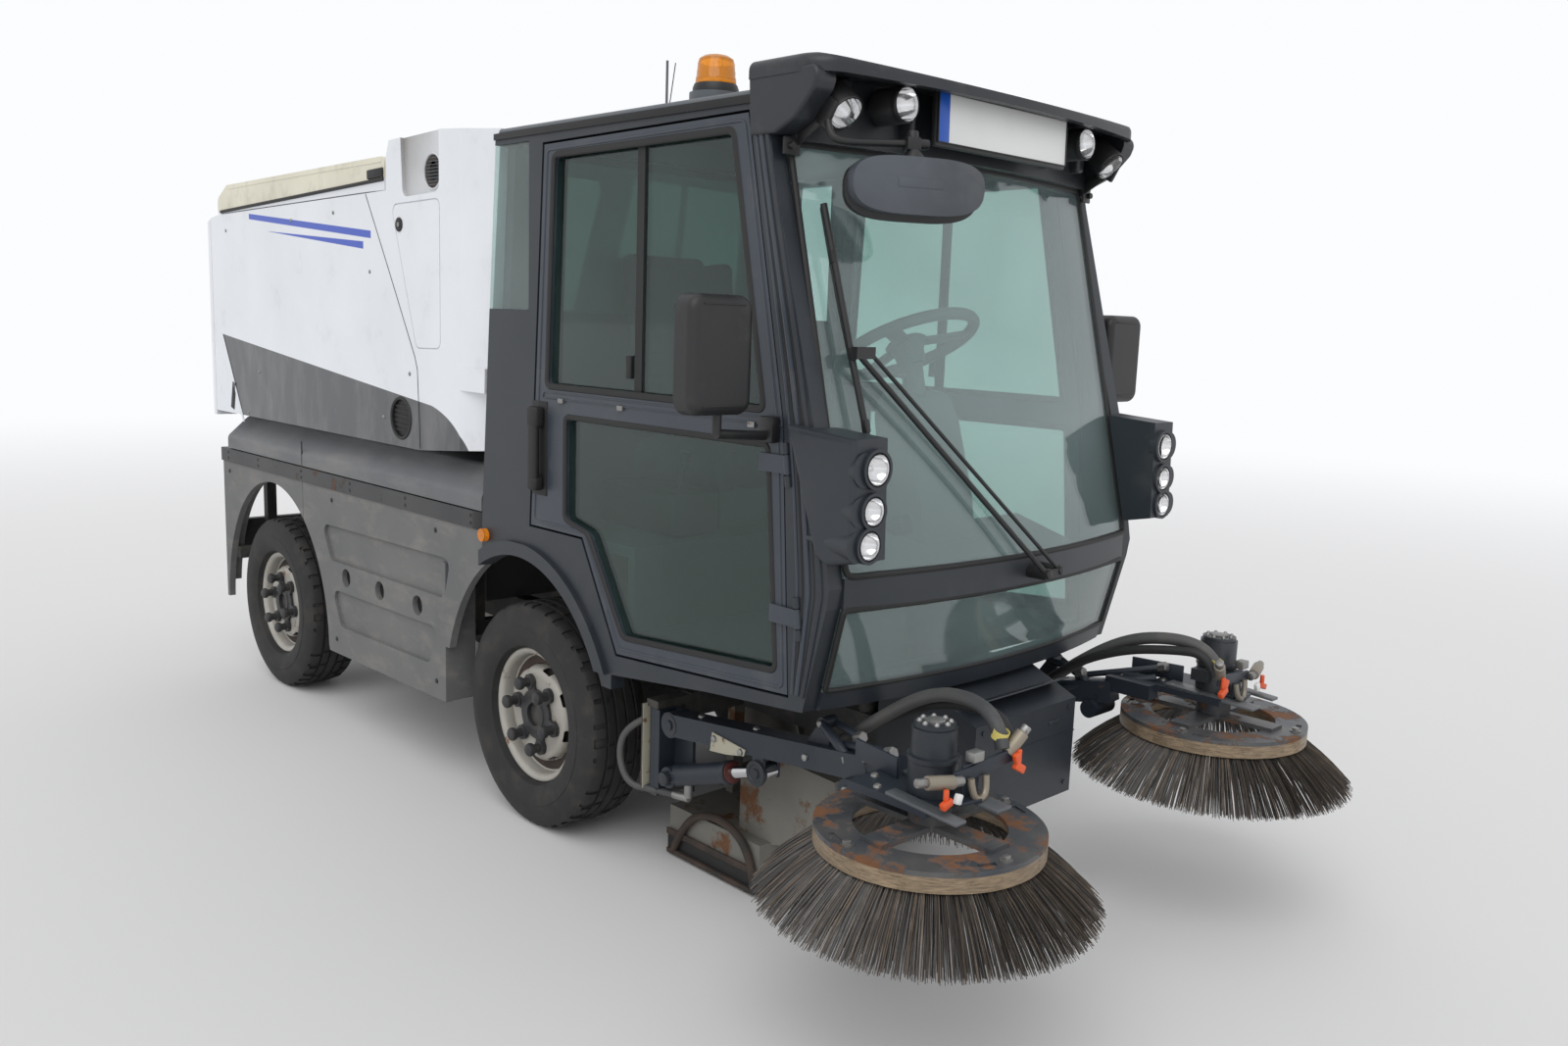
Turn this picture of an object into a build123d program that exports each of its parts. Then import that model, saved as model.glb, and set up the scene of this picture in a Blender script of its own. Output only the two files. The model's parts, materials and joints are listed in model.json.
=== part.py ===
from build123d import *
import os
from math import cos, hypot, radians, sin

# Compact road sweeper, in millimetres. The front faces -Y, the left side is +X, the ground is Z = 0.

# Running gear
wheel_base = 1900
front_axle_y = -200
rear_axle_y = front_axle_y + wheel_base
axle_z = 350
tyre_r = 350
tyre_w = 225
tread_w = 184
rim_w = 165
flange_r = 207
bead_r = 190
barrel_wall = 8
wheel_x = 482.5
bolt_circle_r = 102.5
bolt_count = 6
hub_bore_r = 38
disc_face = 40
drum_r = 112
fit_gap = 0.3
kingpin_x = 412
kingpin_r = 16
rail_x = 150
rail_w = 60
rail_z = 440
rail_h = 100
frame_front_y = -1300
frame_rear_y = 2120

# Cab
cab_half = 630
cab_wall = 45
door_wall = 40
panel_gap = 6
roof_z = 2060
front_sag = 80
belt_z = 983
screen_lean = 0.243
belt_y = -1501
glass_t = 6
floor_z = 690
floor_t = 30
seat_deck_z = 955

# Tank, panels and guard rail
tank_inset = 12
tank_half = cab_half - tank_inset
skirt_t = 25
guard_y0 = 2138
guard_z0 = 900
guard_z1 = 956

# Hopper
hopper_half = cab_half
hopper_wall = 30
hopper_floor_z = 1115
tip_pivot_y = 2120
tip_pivot_z = 1070
hopper_rear_y = 2168
hopper_top_z = 1950
tailgate_t = 30

# Brushes
brush_x = 615
brush_y = -1810
ring_z = 530
ring_r = 248
ring_hole_r = 165
bristle_tip_r = 390
bristle_tip_z = 390
arm_x = 480
arm_pivot_y = -800
arm_pivot_z = 463
arm_bar = 62
rod_r = 17
eye_pin_r = 11

# Door hinge line, leaning with the screen pillar
hinge_y = -1339
hinge_z = 1347
hinge_lean = 0.151

sides = (("left", 1), ("right", -1))


def block(x0, x1, y0, y1, z0, z1):
    return Pos((x0 + x1) / 2, (y0 + y1) / 2, (z0 + z1) / 2) * Box(abs(x1 - x0), abs(y1 - y0), abs(z1 - z0))


def rod_x(radius, x0, x1, y, z):
    return Pos((x0 + x1) / 2, y, z) * Rot(0, 90, 0) * Cylinder(radius, abs(x1 - x0))


def rod_y(radius, x, y0, y1, z):
    return Pos(x, (y0 + y1) / 2, z) * Rot(90, 0, 0) * Cylinder(radius, abs(y1 - y0))


def rod_z(radius, x, y, z0, z1):
    return Pos(x, y, (z0 + z1) / 2) * Cylinder(radius, abs(z1 - z0))


def side_prism(points, x0, x1):
    """A profile of (y, z) points, extruded across the vehicle from x0 to x1."""
    outline = make_face(Polyline(*points, close=True))
    return extrude(Plane.YZ.offset(x0) * outline, x1 - x0)


def rounded_side_prism(points, x0, x1, radius):
    outline = make_face(Polyline(*points, close=True))
    outline = fillet(outline.vertices(), radius)
    return extrude(Plane.YZ.offset(x0) * outline, x1 - x0)


def strut(start, end, radius):
    path = Line(start, end)
    return sweep(Plane(origin=start, z_dir=path % 0) * Circle(radius), path=path)


def bar(start, end, width, height):
    """A square bar between two points of one side plane."""
    path = Line(start, end)
    section = Plane(origin=start, x_dir=(1, 0, 0), z_dir=path % 0) * Rectangle(width, height)
    return sweep(section, path=path)


def both(shape):
    """The shape and its mirror image on the other side of the vehicle."""
    return [shape, mirror(shape, about=Plane.YZ)]


def on_side(shape, side):
    return shape if side > 0 else mirror(shape, about=Plane.YZ)


def save(name, *shapes):
    solids = []
    for shape in shapes:
        if isinstance(shape, (list, tuple)):
            for item in shape:
                solids.extend(item.solids())
        else:
            solids.extend(shape.solids())
    export_step(solids[0] if len(solids) == 1 else Compound(children=solids), f"parts/{name}.step")


os.makedirs("parts", exist_ok=True)


# Tyres, rims, knuckles and axles
def tyre_solid():
    half, tread, bead = tyre_w / 2, tread_w / 2, rim_w / 2 - barrel_wall - 4
    profile = Polyline((bead_r, -bead), (flange_r + 1, -bead - 3), (bead_r + 25, -half + 12),
                       (bead_r + 75, -half), (tyre_r - 45, -half + 6), (tyre_r - 9, -tread), (tyre_r, -tread + 22), (tyre_r, tread - 22), (tyre_r - 9, tread),
                       (tyre_r - 45, half - 6), (bead_r + 75, half), (bead_r + 25, half - 12),
                       (flange_r + 1, bead + 3), (bead_r, bead),
                       close=True)
    return Rot(0, 90, 0) * revolve(Plane.XZ * make_face(profile), Axis.Z)


def rim_solid():
    """A steel disc wheel, outboard face towards +X, with its hub spider and six nuts."""
    half = rim_w / 2
    seat = bead_r - fit_gap
    well = bead_r - 32
    barrel = Polyline((flange_r, half), (flange_r, half - 8), (seat, half - 11), (seat, 34), (well, 22),
                      (well, -22), (seat, -34), (seat, 11 - half), (flange_r, 8 - half), (flange_r, -half),
                      (seat - barrel_wall, -half), (seat - barrel_wall, -38), (well - barrel_wall, -26),
                      (well - barrel_wall, 26), (seat - barrel_wall, 38), (seat - barrel_wall, half), close=True)
    disc = Polyline((well - 4, 4), (well - 4, 14), (138, 24), (126, disc_face + 10), (hub_bore_r, disc_face + 10),
                    (hub_bore_r, disc_face), (118, disc_face), (128, 14), close=True)
    wheel = revolve(Plane.XZ * make_face(barrel), Axis.Z) + revolve(Plane.XZ * make_face(disc), Axis.Z)
    slot = Pos(134, 0, 22) * Box(26, 44, 60)
    for index in range(8):
        wheel -= Rot(0, 0, index * 45 + 22.5) * slot
    spider = Pos(0, 0, 54) * Cylinder(84, 10)
    for index in range(bolt_count):
        angle = radians(index * 360 / bolt_count)
        place = Pos(bolt_circle_r * cos(angle), bolt_circle_r * sin(angle), 0)
        spider += place * Pos(0, 0, 54) * Cylinder(26, 10)
        spider += place * Pos(0, 0, 66) * Cylinder(19, 26)
    wheel += spider - Pos(0, 0, 54) * Cylinder(hub_bore_r, 20)
    return Rot(0, 90, 0) * wheel


def stub(side_x0):
    """Hub carrier, brake drum and spindle of one wheel, outboard towards +X."""
    drum = rod_x(drum_r, side_x0, wheel_x + disc_face - fit_gap, 0, axle_z)
    spindle = rod_x(hub_bore_r - fit_gap, side_x0, wheel_x + 66, 0, axle_z)
    return drum + spindle


for end, axle_y in (("front", front_axle_y), ("rear", rear_axle_y)):
    for name, side in sides:
        place = Pos(side * wheel_x, axle_y, axle_z)
        turn = Rot(0, 0, 0) if side > 0 else Rot(0, 0, 180)
        save(f"{end}_{name}_tyre", place * tyre_solid())
        save(f"{end}_{name}_rim", place * turn * rim_solid())

knuckle = rod_z(30, kingpin_x, front_axle_y, axle_z - 92, axle_z - 51)
knuckle += rod_z(30, kingpin_x, front_axle_y, axle_z + 51, axle_z + 92)
knuckle += block(kingpin_x, kingpin_x + 40, front_axle_y - 28, front_axle_y + 28, axle_z - 92, axle_z - 60)
knuckle += block(kingpin_x, kingpin_x + 40, front_axle_y - 28, front_axle_y + 28, axle_z + 60, axle_z + 92)
knuckle += block(kingpin_x + 36, kingpin_x + 54, front_axle_y - 60, front_axle_y + 60, axle_z - 92, axle_z + 92)
knuckle += rod_z(kingpin_r - fit_gap, kingpin_x, front_axle_y, axle_z - 92, axle_z + 92)
knuckle += Pos(0, front_axle_y, 0) * stub(kingpin_x + 50)
knuckle += block(kingpin_x - 22, kingpin_x + 50, front_axle_y + 20, front_axle_y + 100, axle_z - 92, axle_z - 76)
for name, side in sides:
    save(f"knuckle_{name}", on_side(knuckle, side))

beam_half = kingpin_x - 20
front_beam = block(-beam_half, beam_half, front_axle_y - 32, front_axle_y + 32, axle_z - 40, axle_z + 30)
for x in (-kingpin_x, kingpin_x):
    front_beam += rod_z(34, x, front_axle_y, axle_z - 50.5, axle_z + 50.5)
    front_beam -= rod_z(kingpin_r, x, front_axle_y, axle_z - 60, axle_z + 60)
ram_y = front_axle_y + 32 + 28 + fit_gap
steering_ram = rod_x(28, -170, 170, ram_y, axle_z) + rod_x(12, -310, 310, ram_y, axle_z)
rear_tube = rod_x(46, -400, 400, rear_axle_y, axle_z)
rear_tube += rod_x(104, -50, 50, rear_axle_y, axle_z) + rod_x(78, -80, 80, rear_axle_y, axle_z)
rear_hubs = both(Pos(0, rear_axle_y, 0) * stub(400 + fit_gap))
spring_half = 330
spring_w = 52
leaf_z0 = rail_z - 36
leaf_z1 = rail_z - 14
springs = []
for axle_y, pad_z in ((front_axle_y, axle_z + 30), (rear_axle_y, axle_z + 46)):
    for x in (-rail_x, rail_x):
        x0, x1 = x - spring_w / 2, x + spring_w / 2
        leaves = block(x0, x1, axle_y - spring_half, axle_y + spring_half, leaf_z0 + 6, leaf_z1)
        leaves += block(x0, x1, axle_y - spring_half / 2, axle_y + spring_half / 2, leaf_z0, leaf_z1)
        springs.append(leaves)
        springs.append(block(x0, x1, axle_y - 32, axle_y + 32, pad_z + fit_gap, leaf_z0 - fit_gap))
        for end in (-1, 1):
            shackle_y = axle_y + end * (spring_half - 18)
            springs.append(block(x0, x1, shackle_y - 16, shackle_y + 16, leaf_z1 + fit_gap, rail_z - fit_gap))
save("axles", front_beam, steering_ram, rear_tube, rear_hubs, springs)

# Chassis frame, engine
swing_y = arm_pivot_y + 84
swing_z0, swing_z1 = 258, 490
swing_pin_r = 12
bracket_t = 22
bracket_x = arm_x - 98
rail_inner = rail_x - rail_w / 2
rail_outer = rail_x + rail_w / 2
rail_top = rail_z + rail_h
outrigger_half = tank_half - skirt_t - fit_gap
outrigger_z1 = rail_top - 10
tank_z = 960
tip_pin_r = 18
rear_bar_y0 = frame_rear_y + fit_gap
rear_bar_y1 = rear_bar_y0 + 40
rear_bar_z0 = 520
frame = both(block(rail_inner, rail_outer, frame_front_y, frame_rear_y, rail_z, rail_top))
for cross_y in (frame_front_y + 40, 420, 1150, frame_rear_y - 40):
    frame.append(block(fit_gap - rail_inner, rail_inner - fit_gap, cross_y - 35, cross_y + 35, rail_z + 15, rail_top - 15))
for y in (330, 1110, 2080):
    frame += both(block(rail_outer + fit_gap, outrigger_half, y - 20, y + 20, rail_z + 40, outrigger_z1))
    frame += both(block(430, 470, y - 20, y + 20, outrigger_z1 + fit_gap, tank_z))
swing_arm = block(rail_outer + fit_gap, bracket_x, swing_y - 22, swing_y + 22, rail_z + 5, rail_z + 75)
bracket = block(bracket_x + fit_gap, bracket_x + 20, swing_y - 22, swing_y + 22, swing_z0 - bracket_t, swing_z1 + bracket_t)
lower_plate = block(bracket_x + 20 + fit_gap, arm_x + 22, swing_y - 22, swing_y + 28, swing_z0 - bracket_t,
                    swing_z0 - fit_gap)
lower_plate += rod_z(swing_pin_r, arm_x, swing_y, swing_z0 - bracket_t, swing_z1)
upper_plate = block(bracket_x + 20 + fit_gap, arm_x + 22, swing_y - 22, swing_y + 28, swing_z1 + fit_gap,
                    swing_z1 + bracket_t)
splash_plate = block(arm_x - 30, arm_x + 36, swing_y + 28 + fit_gap, swing_y + 34, swing_z0 - 8, swing_z1 + 8)
for member in (swing_arm, bracket, lower_plate, upper_plate, splash_plate):
    frame += both(member)
for y in (-1210, -780):
    frame += both(rod_z(28, rail_x, y, rail_top + fit_gap, floor_z))
tower = block(rail_x - 30, rail_x + 30, tip_pivot_y - 80, guard_y0 - fit_gap, rail_top + fit_gap, tip_pivot_z + 30)
frame += both(tower - rod_x(tip_pin_r, rail_x - 40, rail_x + 40, tip_pivot_y, tip_pivot_z))
rear_bar_half = cab_half - 80
frame.append(block(-rear_bar_half, rear_bar_half, rear_bar_y0, rear_bar_y1, rear_bar_z0, 640))
tow_eye_r = 20
tow_plate = block(-45, 45, rear_bar_y0, rear_bar_y1 - 10, 458, 482) + rod_z(45, 0, rear_bar_y1 - 10, 458, 482)
tow_plate += block(-12, 12, rear_bar_y0, rear_bar_y0 + 12, 470, rear_bar_z0 - fit_gap)
tow_plate -= rod_z(tow_eye_r, 0, rear_bar_y1 - 6, 450, 490)
frame.append(tow_plate)
save("chassis_frame", frame)
save("engine_block", block(-300, 300, 520, 1100, rail_top, 880))

# Cab shell: floor, sides, front frame, rear wall, roof and visor
inner_half = cab_half - cab_wall
# Wheel arches: centre (y, z), half width and height
front_arch = (-230, 300, 470, 560)
rear_arch = (1630, 290, 500, 572)


def arch(shape, extra, x0, x1):
    y, z, half_length, height = shape
    outline = Pos(y, z) * Ellipse(half_length + extra, height + extra)
    return extrude(Plane.YZ.offset(x0) * outline, x1 - x0)


door_points = [(-346, 2030), (-1183, 2040), (-1331, 1347), (-1378, 712), (-712, 665), (-545, 962), (-285, 962)]
pillar_front = [(-1250, 2060), (-1264, 1958), (-1435, 1340), (belt_y, belt_z), (-1494, 934), (-1431, 682)]
sill_points = [(-1090, 650), (-690, 602), (-690, 560), (-13, 560), (-13, 931), (-93, roof_z)]


def grown(points, amount):
    """A (y, z) outline moved outwards by amount, corners kept."""
    return offset(make_face(Polyline(*points, close=True)), amount, kind=Kind.INTERSECTION)


side_panel = side_prism(pillar_front + sill_points, inner_half, cab_half)
side_panel -= extrude(Plane.YZ.offset(inner_half - 5) * grown(door_points, panel_gap), cab_wall + 10)
side_panel -= arch(front_arch, 0, inner_half - 5, cab_half + 5)
quarter_points = [(-272, 1580), (-272, 2045), (-84, 2045), (-50, 1580)]
side_panel -= side_prism(quarter_points, inner_half - 5, cab_half + 5)
flare = arch(front_arch, 42, cab_half - 5, cab_half + 14) - arch(front_arch, 0, cab_half - 10, cab_half + 20)
flare &= side_prism([(-13, 600), (-13, 900), (-480, 900), (-690, 640), (-690, 600)], cab_half - 20, cab_half + 30)
side_panel += flare


def hinge_point(z):
    """The doors' hinge line, on the outer face just ahead of the door edge."""
    return (cab_half, hinge_y + hinge_lean * (z - hinge_z), z)


door_hinges = ((1200, 1300), (850, 950))
hinge_r = 10
hinge_pin_r = 5
for low, high in door_hinges:
    side_panel += strut(hinge_point(low), hinge_point(high), hinge_r)
    side_panel -= strut(hinge_point(low + 25), hinge_point(high - 25), hinge_r + 4)
    side_panel += strut(hinge_point(low + 10), hinge_point(high - 10), hinge_pin_r)
save("cab_sides", both(side_panel))


def front_sheet(z0, z1, corner_y0, lean, half, depth, sag=front_sag):
    """A bowed front panel between two heights; lean is how far it falls back per unit of height."""
    front = ThreePointArc((-half, corner_y0), (0, corner_y0 - sag), (half, corner_y0))
    back = ThreePointArc((half, corner_y0 + depth), (0, corner_y0 - sag + depth), (-half, corner_y0 + depth))
    outline = make_face([front, Line(front @ 1, back @ 0), back, Line(back @ 1, front @ 0)])
    height = z1 - z0
    direction = Vector(0, lean * height, height)
    return extrude(Plane.XY.offset(z0) * outline, direction.length, dir=direction.normalized())


sill_lean = (-1494 + 1431) / (934 - 682)
frame_depth = 55
front_half = inner_half - fit_gap
corner_bow = front_sag * (1 - (front_half / cab_half) ** 2)
front_bow = front_sag - corner_bow


def sill_corner_y(z):
    return -1431 + sill_lean * (z - 682) - corner_bow


def screen_corner_y(z):
    return belt_y + screen_lean * (z - belt_z) - corner_bow


front_frame = [
    front_sheet(682, 727, sill_corner_y(682), sill_lean, front_half, frame_depth, front_bow),
    front_sheet(934, belt_z + 22, sill_corner_y(934), 0, front_half, frame_depth, front_bow),
    front_sheet(1975, roof_z, screen_corner_y(1975), screen_lean, front_half, frame_depth, front_bow),
]
save("cab_front_frame", front_frame)

screen_z0 = belt_z + 22 + fit_gap
screen = front_sheet(screen_z0, 1975 - fit_gap, screen_corner_y(screen_z0) + 2, screen_lean, front_half, glass_t,
                     front_bow)
low_glass = front_sheet(727 + fit_gap, 934 - fit_gap, sill_corner_y(727) + 2, sill_lean, front_half, glass_t,
                        front_bow)
quarter_glass = side_prism([(-271.7, 1580.3), (-271.7, 2044.7), (-84.3, 2044.7), (-50.3, 1580.3)], cab_half - 12, cab_half - 6)
rear_wall_t = 40
rear_pane = side_prism([(-72, 1580.3), (-78, 1580.3), (-109, 2029.7), (-103, 2029.7)], -449.7, 449.7)
save("cab_windows", screen, low_glass, both(quarter_glass), rear_pane)

rear_wall = side_prism([(-13, 931), (-90, 2050), (-90 - rear_wall_t, 2050), (-13 - rear_wall_t, 931)],
                       -front_half, front_half)
rear_wall -= block(-450, 450, -200, 20, 1580, 2030)
save("cab_rear_wall", rear_wall)

riser_y = -700
floor = block(-front_half, front_half, -1368, riser_y, floor_z, floor_z + floor_t)
floor += block(-front_half, front_half, riser_y - floor_t, riser_y, floor_z, seat_deck_z)
floor += block(-front_half, front_half, riser_y - floor_t, -58, seat_deck_z - floor_t, seat_deck_z)
save("cab_floor", floor)

crown = 95
roof_half = cab_half - 12
roof_side_z = 2092


def roof_face(inset):
    half, low = roof_half - inset, roof_z + fit_gap
    crest = ThreePointArc((-half, roof_side_z - inset), (0, roof_side_z + crown - 28 - inset), (half, roof_side_z - inset))
    sides = Polyline(crest @ 1, (half, low), (-half, low), crest @ 0)
    return make_face([crest, sides])


roof_outer = roof_face(0)
roof_outer = fillet([v for v in roof_outer.vertices() if v.Y > roof_z + 10], 14)
roof = extrude(Plane.XZ.offset(92) * roof_outer, 1195 - 92)
roof -= extrude(Plane.XZ.offset(132) * roof_face(26), 1155 - 132)
for gutter in both(block(roof_half - 2, roof_half + 14, -1195, -92, roof_z + fit_gap, roof_z + 16)):
    roof += gutter
roof += rod_z(66, -487, -900, 2100, 2128)
roof += strut((-100, -213, 2150), (-100, -213, 2352), 4) + rod_z(18, -100, -213, 2150, 2172)
save("cab_roof", roof)

visor_top = 2150
visor_lip_z = 2108
visor_depth = 225
lip_corner_y = -1420


def hood_outline(corner_y, half, depth, sag, radius):
    front = ThreePointArc((-half, corner_y), (0, corner_y - sag), (half, corner_y))
    back = Polyline((half, corner_y), (half, corner_y + depth), (-half, corner_y + depth), (-half, corner_y))
    outline = make_face([front, back])
    corners = [v for v in outline.vertices() if abs(v.Y - corner_y) < 1]
    return fillet(corners, radius)


hood = extrude(Plane.XY.offset(visor_lip_z) * hood_outline(lip_corner_y, cab_half + 12, visor_depth, 72, 95),
               visor_top - visor_lip_z)
hood = fillet([e for e in hood.faces().sort_by(Axis.Z)[-1].edges() if e.center().Y < lip_corner_y + 150], 24)
hood &= side_prism([(-1560, visor_lip_z), (-1500, 2128), (-1380, visor_top), (-1196, visor_top), (-1196, visor_lip_z)],
                   -700, 700)
hollow_z = visor_lip_z + 14
hood -= extrude(Plane.XY.offset(visor_lip_z - 5) * hood_outline(lip_corner_y + 20, cab_half - 12, 90, 68, 80), 19)
hood_back = front_sheet(1975 + fit_gap, hollow_z, -1296, 0.10, cab_half - 45, 100)
cheek = side_prism([(-1425, hollow_z), (-1404, 2070), (-1345, 2012), (-1282, 1985), (-1205, 1985), (-1196, hollow_z)],
                   cab_half - 48, cab_half + 10)
cheek = fillet(cheek.edges().filter_by(Axis.X).sort_by(Axis.Y)[:3], 26)
cheek = fillet(cheek.faces().sort_by(Axis.X)[-1].edges().sort_by(Axis.Z)[:4], 9)
visor = hood + hood_back
for shape in both(cheek):
    visor += shape
visor -= side_prism(pillar_front + sill_points, -cab_half - 5, cab_half + 5)
visor -= front_sheet(1900, roof_z + 0.5, screen_corner_y(1900) - 0.5, screen_lean, cab_half + 5, 400, front_bow)
visor -= block(-700, 700, -1195, 0, 2000, 2200)
save("roof_visor", visor)

# Doors: frame with two windows, glass, handle and mirror
upper_window = [(-390, 2000), (-1133, 2006), (-1266, 1369), (-362, 1369)]
lower_window = [(-455, 1290), (-1285, 1290), (-1335, 760), (-735, 715), (-570, 975), (-455, 1000)]
door_x0 = cab_half - 2 - door_wall
door = side_prism(door_points, door_x0, cab_half - 2)
window_r = 26
for window in (upper_window, lower_window):
    door -= rounded_side_prism(window, door_x0 - 5, cab_half + 5, window_r)
door += block(cab_half - 2, cab_half + 26, -345, -322, 1090, 1110)
door += block(cab_half - 2, cab_half + 26, -345, -322, 1270, 1290)
door += block(cab_half + 12, cab_half + 26, -345, -322, 1090, 1290)
for low, high in door_hinges:
    y_mid = hinge_point((low + high) / 2)[1]
    door += block(cab_half + 2, cab_half + 7, y_mid, y_mid + 90, low + 29, high - 29)
    door += block(cab_half - 4, cab_half + 7, y_mid + 60, y_mid + 90, low + 29, high - 29)
    door += strut(hinge_point(low + 28), hinge_point(high - 28), hinge_r)
    door -= strut(hinge_point(low + 10), hinge_point(high - 10), hinge_pin_r + fit_gap)
pane_x = cab_half - 24
panes = []
for window in (upper_window, lower_window):
    pane = offset(make_face(Polyline(*window, close=True)), -fit_gap, kind=Kind.INTERSECTION)
    pane = fillet(pane.vertices(), window_r)
    panes.append(extrude(Plane.YZ.offset(pane_x) * pane, glass_t))
mirror_y = -1300
mirror_arm = strut((cab_half + 8, mirror_y, 1312), (800, mirror_y, 1322), 11)
mirror_arm += strut((800, mirror_y, 1322), (800, mirror_y, 1375), 11)
mirror_arm += block(cab_half - 2 + fit_gap, cab_half + 20, mirror_y - 20, mirror_y + 20, 1308, 1345)
mirror_body = Pos(810, mirror_y, 1495) * Box(180, 62, 262)
mirror_body = fillet(mirror_body.edges().filter_by(Axis.Y), 34)
mirror_body = fillet(mirror_body.faces().sort_by(Axis.Y)[0].edges(), 22)
for name, side in sides:
    save(f"door_{name}", on_side(door, side))
    save(f"door_glass_{name}", [on_side(pane, side) for pane in panes])
    save(f"mirror_{name}", on_side(mirror_arm + mirror_body, side))

# Cab interior
dash = side_prism([(-1440, 985), (-1240, 1040), (-1180, 1010), (-1200, 930), (-1420, 900)], -430, 430)
dash += block(-60, 60, -1400, -1250, floor_z + floor_t, 960)
save("dashboard", dash)
wheel_centre = (0, -1085, 1190)
column_dir = Vector(0, 0.45, 0.89).normalized()
steer_plane = Plane(origin=wheel_centre, x_dir=(1, 0, 0), z_dir=column_dir)
steering = steer_plane * Torus(190, 13)
steering += steer_plane * Cylinder(48, 30)
for angle in (0, 120, 240):
    steering += steer_plane * Rot(0, 0, angle + 90) * Pos(105, 0, 0) * Box(150, 26, 14)
column_foot = Vector(*wheel_centre) - column_dir * 215
steering += strut(tuple(column_foot), wheel_centre, 24)
steering -= dash
save("steering_wheel", steering)
seat_base = block(-190, 190, -620, -250, seat_deck_z, seat_deck_z + 120)
save("seat_base", seat_base)
cushion = fillet(block(-235, 235, -660, -215, seat_deck_z + 120 + fit_gap, seat_deck_z + 230).edges(), 30)
backrest = rounded_side_prism([(-300, 1185.3), (-215, 1185.3), (-125, 1760), (-185, 1770)], -220, 220, 25)
save("seat_cushions", cushion, backrest)

# Lamp pods, lamps, front mirror, wiper, beacon
pod = side_prism([(-1380, 1345), (-1592, 1330), (-1600, 1062), (-1520, 1045), (-1484, 1062)], cab_half - 70, cab_half + 38)
pod = fillet(pod.faces().sort_by(Axis.X)[-1].edges(), 14)
# Pod lamps: x inwards of the cab side, z, radius
pod_lamp_rows = ((30, 1264, 38), (23, 1173, 34), (14, 1098, 34))
for inset, z, radius in pod_lamp_rows:
    fairing = Pos(cab_half - inset + 34, -1524, z) * Rot(90, 0, 0) * Cone(6, radius, 150)
    bezel = rod_y(radius + 7, cab_half - inset, -1606, -1580, z)
    pod += fairing + bezel
for inset, z, radius in pod_lamp_rows:
    pod -= rod_y(radius, cab_half - inset, -1640, -1570, z)
pod -= side_prism(pillar_front + sill_points, 500, cab_half + 0.5)
pod -= front_sheet(960, 1400, screen_corner_y(960) - 0.5, screen_lean, cab_half, 300)
save("lamp_pods", both(pod))
lamps = []
for inset, z, radius in pod_lamp_rows:
    lens = rod_y(radius - fit_gap, cab_half - inset, -1602, -1570 - fit_gap, z)
    lamps += both(lens + Pos(cab_half - inset, -1602, z) * scale(Sphere(radius - 4), (1, 0.25, 1)))
roof_lamp = rod_y(42, 367, -1428, -1340, 2070) + Pos(367, -1428, 2070) * scale(Sphere(40), (1, 0.3, 1))
lamps += both(roof_lamp - visor)
work_lamp = Pos(540, -1440, 2038) * Rot(90, 0, 0) * Cone(24, 42, 84) + rod_y(44, 540, -1494, -1482, 2038)
work_lamp += strut((540, -1430, 2016), (548, -1390, 1970), 8) + strut((548, -1390, 1970), (600, -1255, 2000), 8)
lamps += both(work_lamp - visor - side_panel)
save("front_lamps", lamps)
mirror_stay = strut((-606, -1240, 1952), (-600, -1440, 1975), 9) + strut((-600, -1440, 1975), (-424, -1500, 1975), 9)
mirror_stay += strut((-424, -1500, 1975), (-424, -1500, 1915), 9)
mirror_stay -= mirror(side_panel, about=Plane.YZ)
mirror_top = Polyline((-555, 1868), (-545, 1932), (-303, 1932), (-293, 1868))
mirror_low = ThreePointArc((-555, 1868), (-424, 1816), (-293, 1868))
mirror_face = make_face([mirror_top, mirror_low])
mirror_face = fillet(mirror_face.vertices(), 22)
front_mirror = extrude(Plane.XZ.offset(1484) * mirror_face, 58)
front_mirror = fillet(front_mirror.faces().sort_by(Axis.Y)[0].edges(), 14)
save("front_mirror", mirror_stay + front_mirror)
wiper_x = -cab_half + 110
wiper = rod_y(16, 30, -1632, -1560, 966) - front_frame[1]
wiper += rod_y(14, 85, -1630, -1560, 970) - front_frame[1] + block(25, 90, -1632, -1622, 958, 978)
wiper += strut((30, -1627, 966), (wiper_x + 5, -1452, 1505), 7)
wiper += strut((85, -1627, 970), (wiper_x + 40, -1452, 1512), 5)
wiper += block(wiper_x - 10, wiper_x + 52, -1462, -1444, 1495, 1522)
wiper += strut((wiper_x - 20, -1348, 1838), (wiper_x, -1436, 1500), 8)
wiper += strut((wiper_x, -1436, 1500), (wiper_x + 20, -1500, 1250), 8)
save("wiper", wiper)
beacon = rod_z(58, -487, -900, 2128 + fit_gap, 2150) + Pos(-487, -900, 2186) * Cone(52, 46, 72)
beacon = fillet(beacon.faces().sort_by(Axis.Z)[-1].edges(), 16)
save("beacon", beacon)

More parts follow.
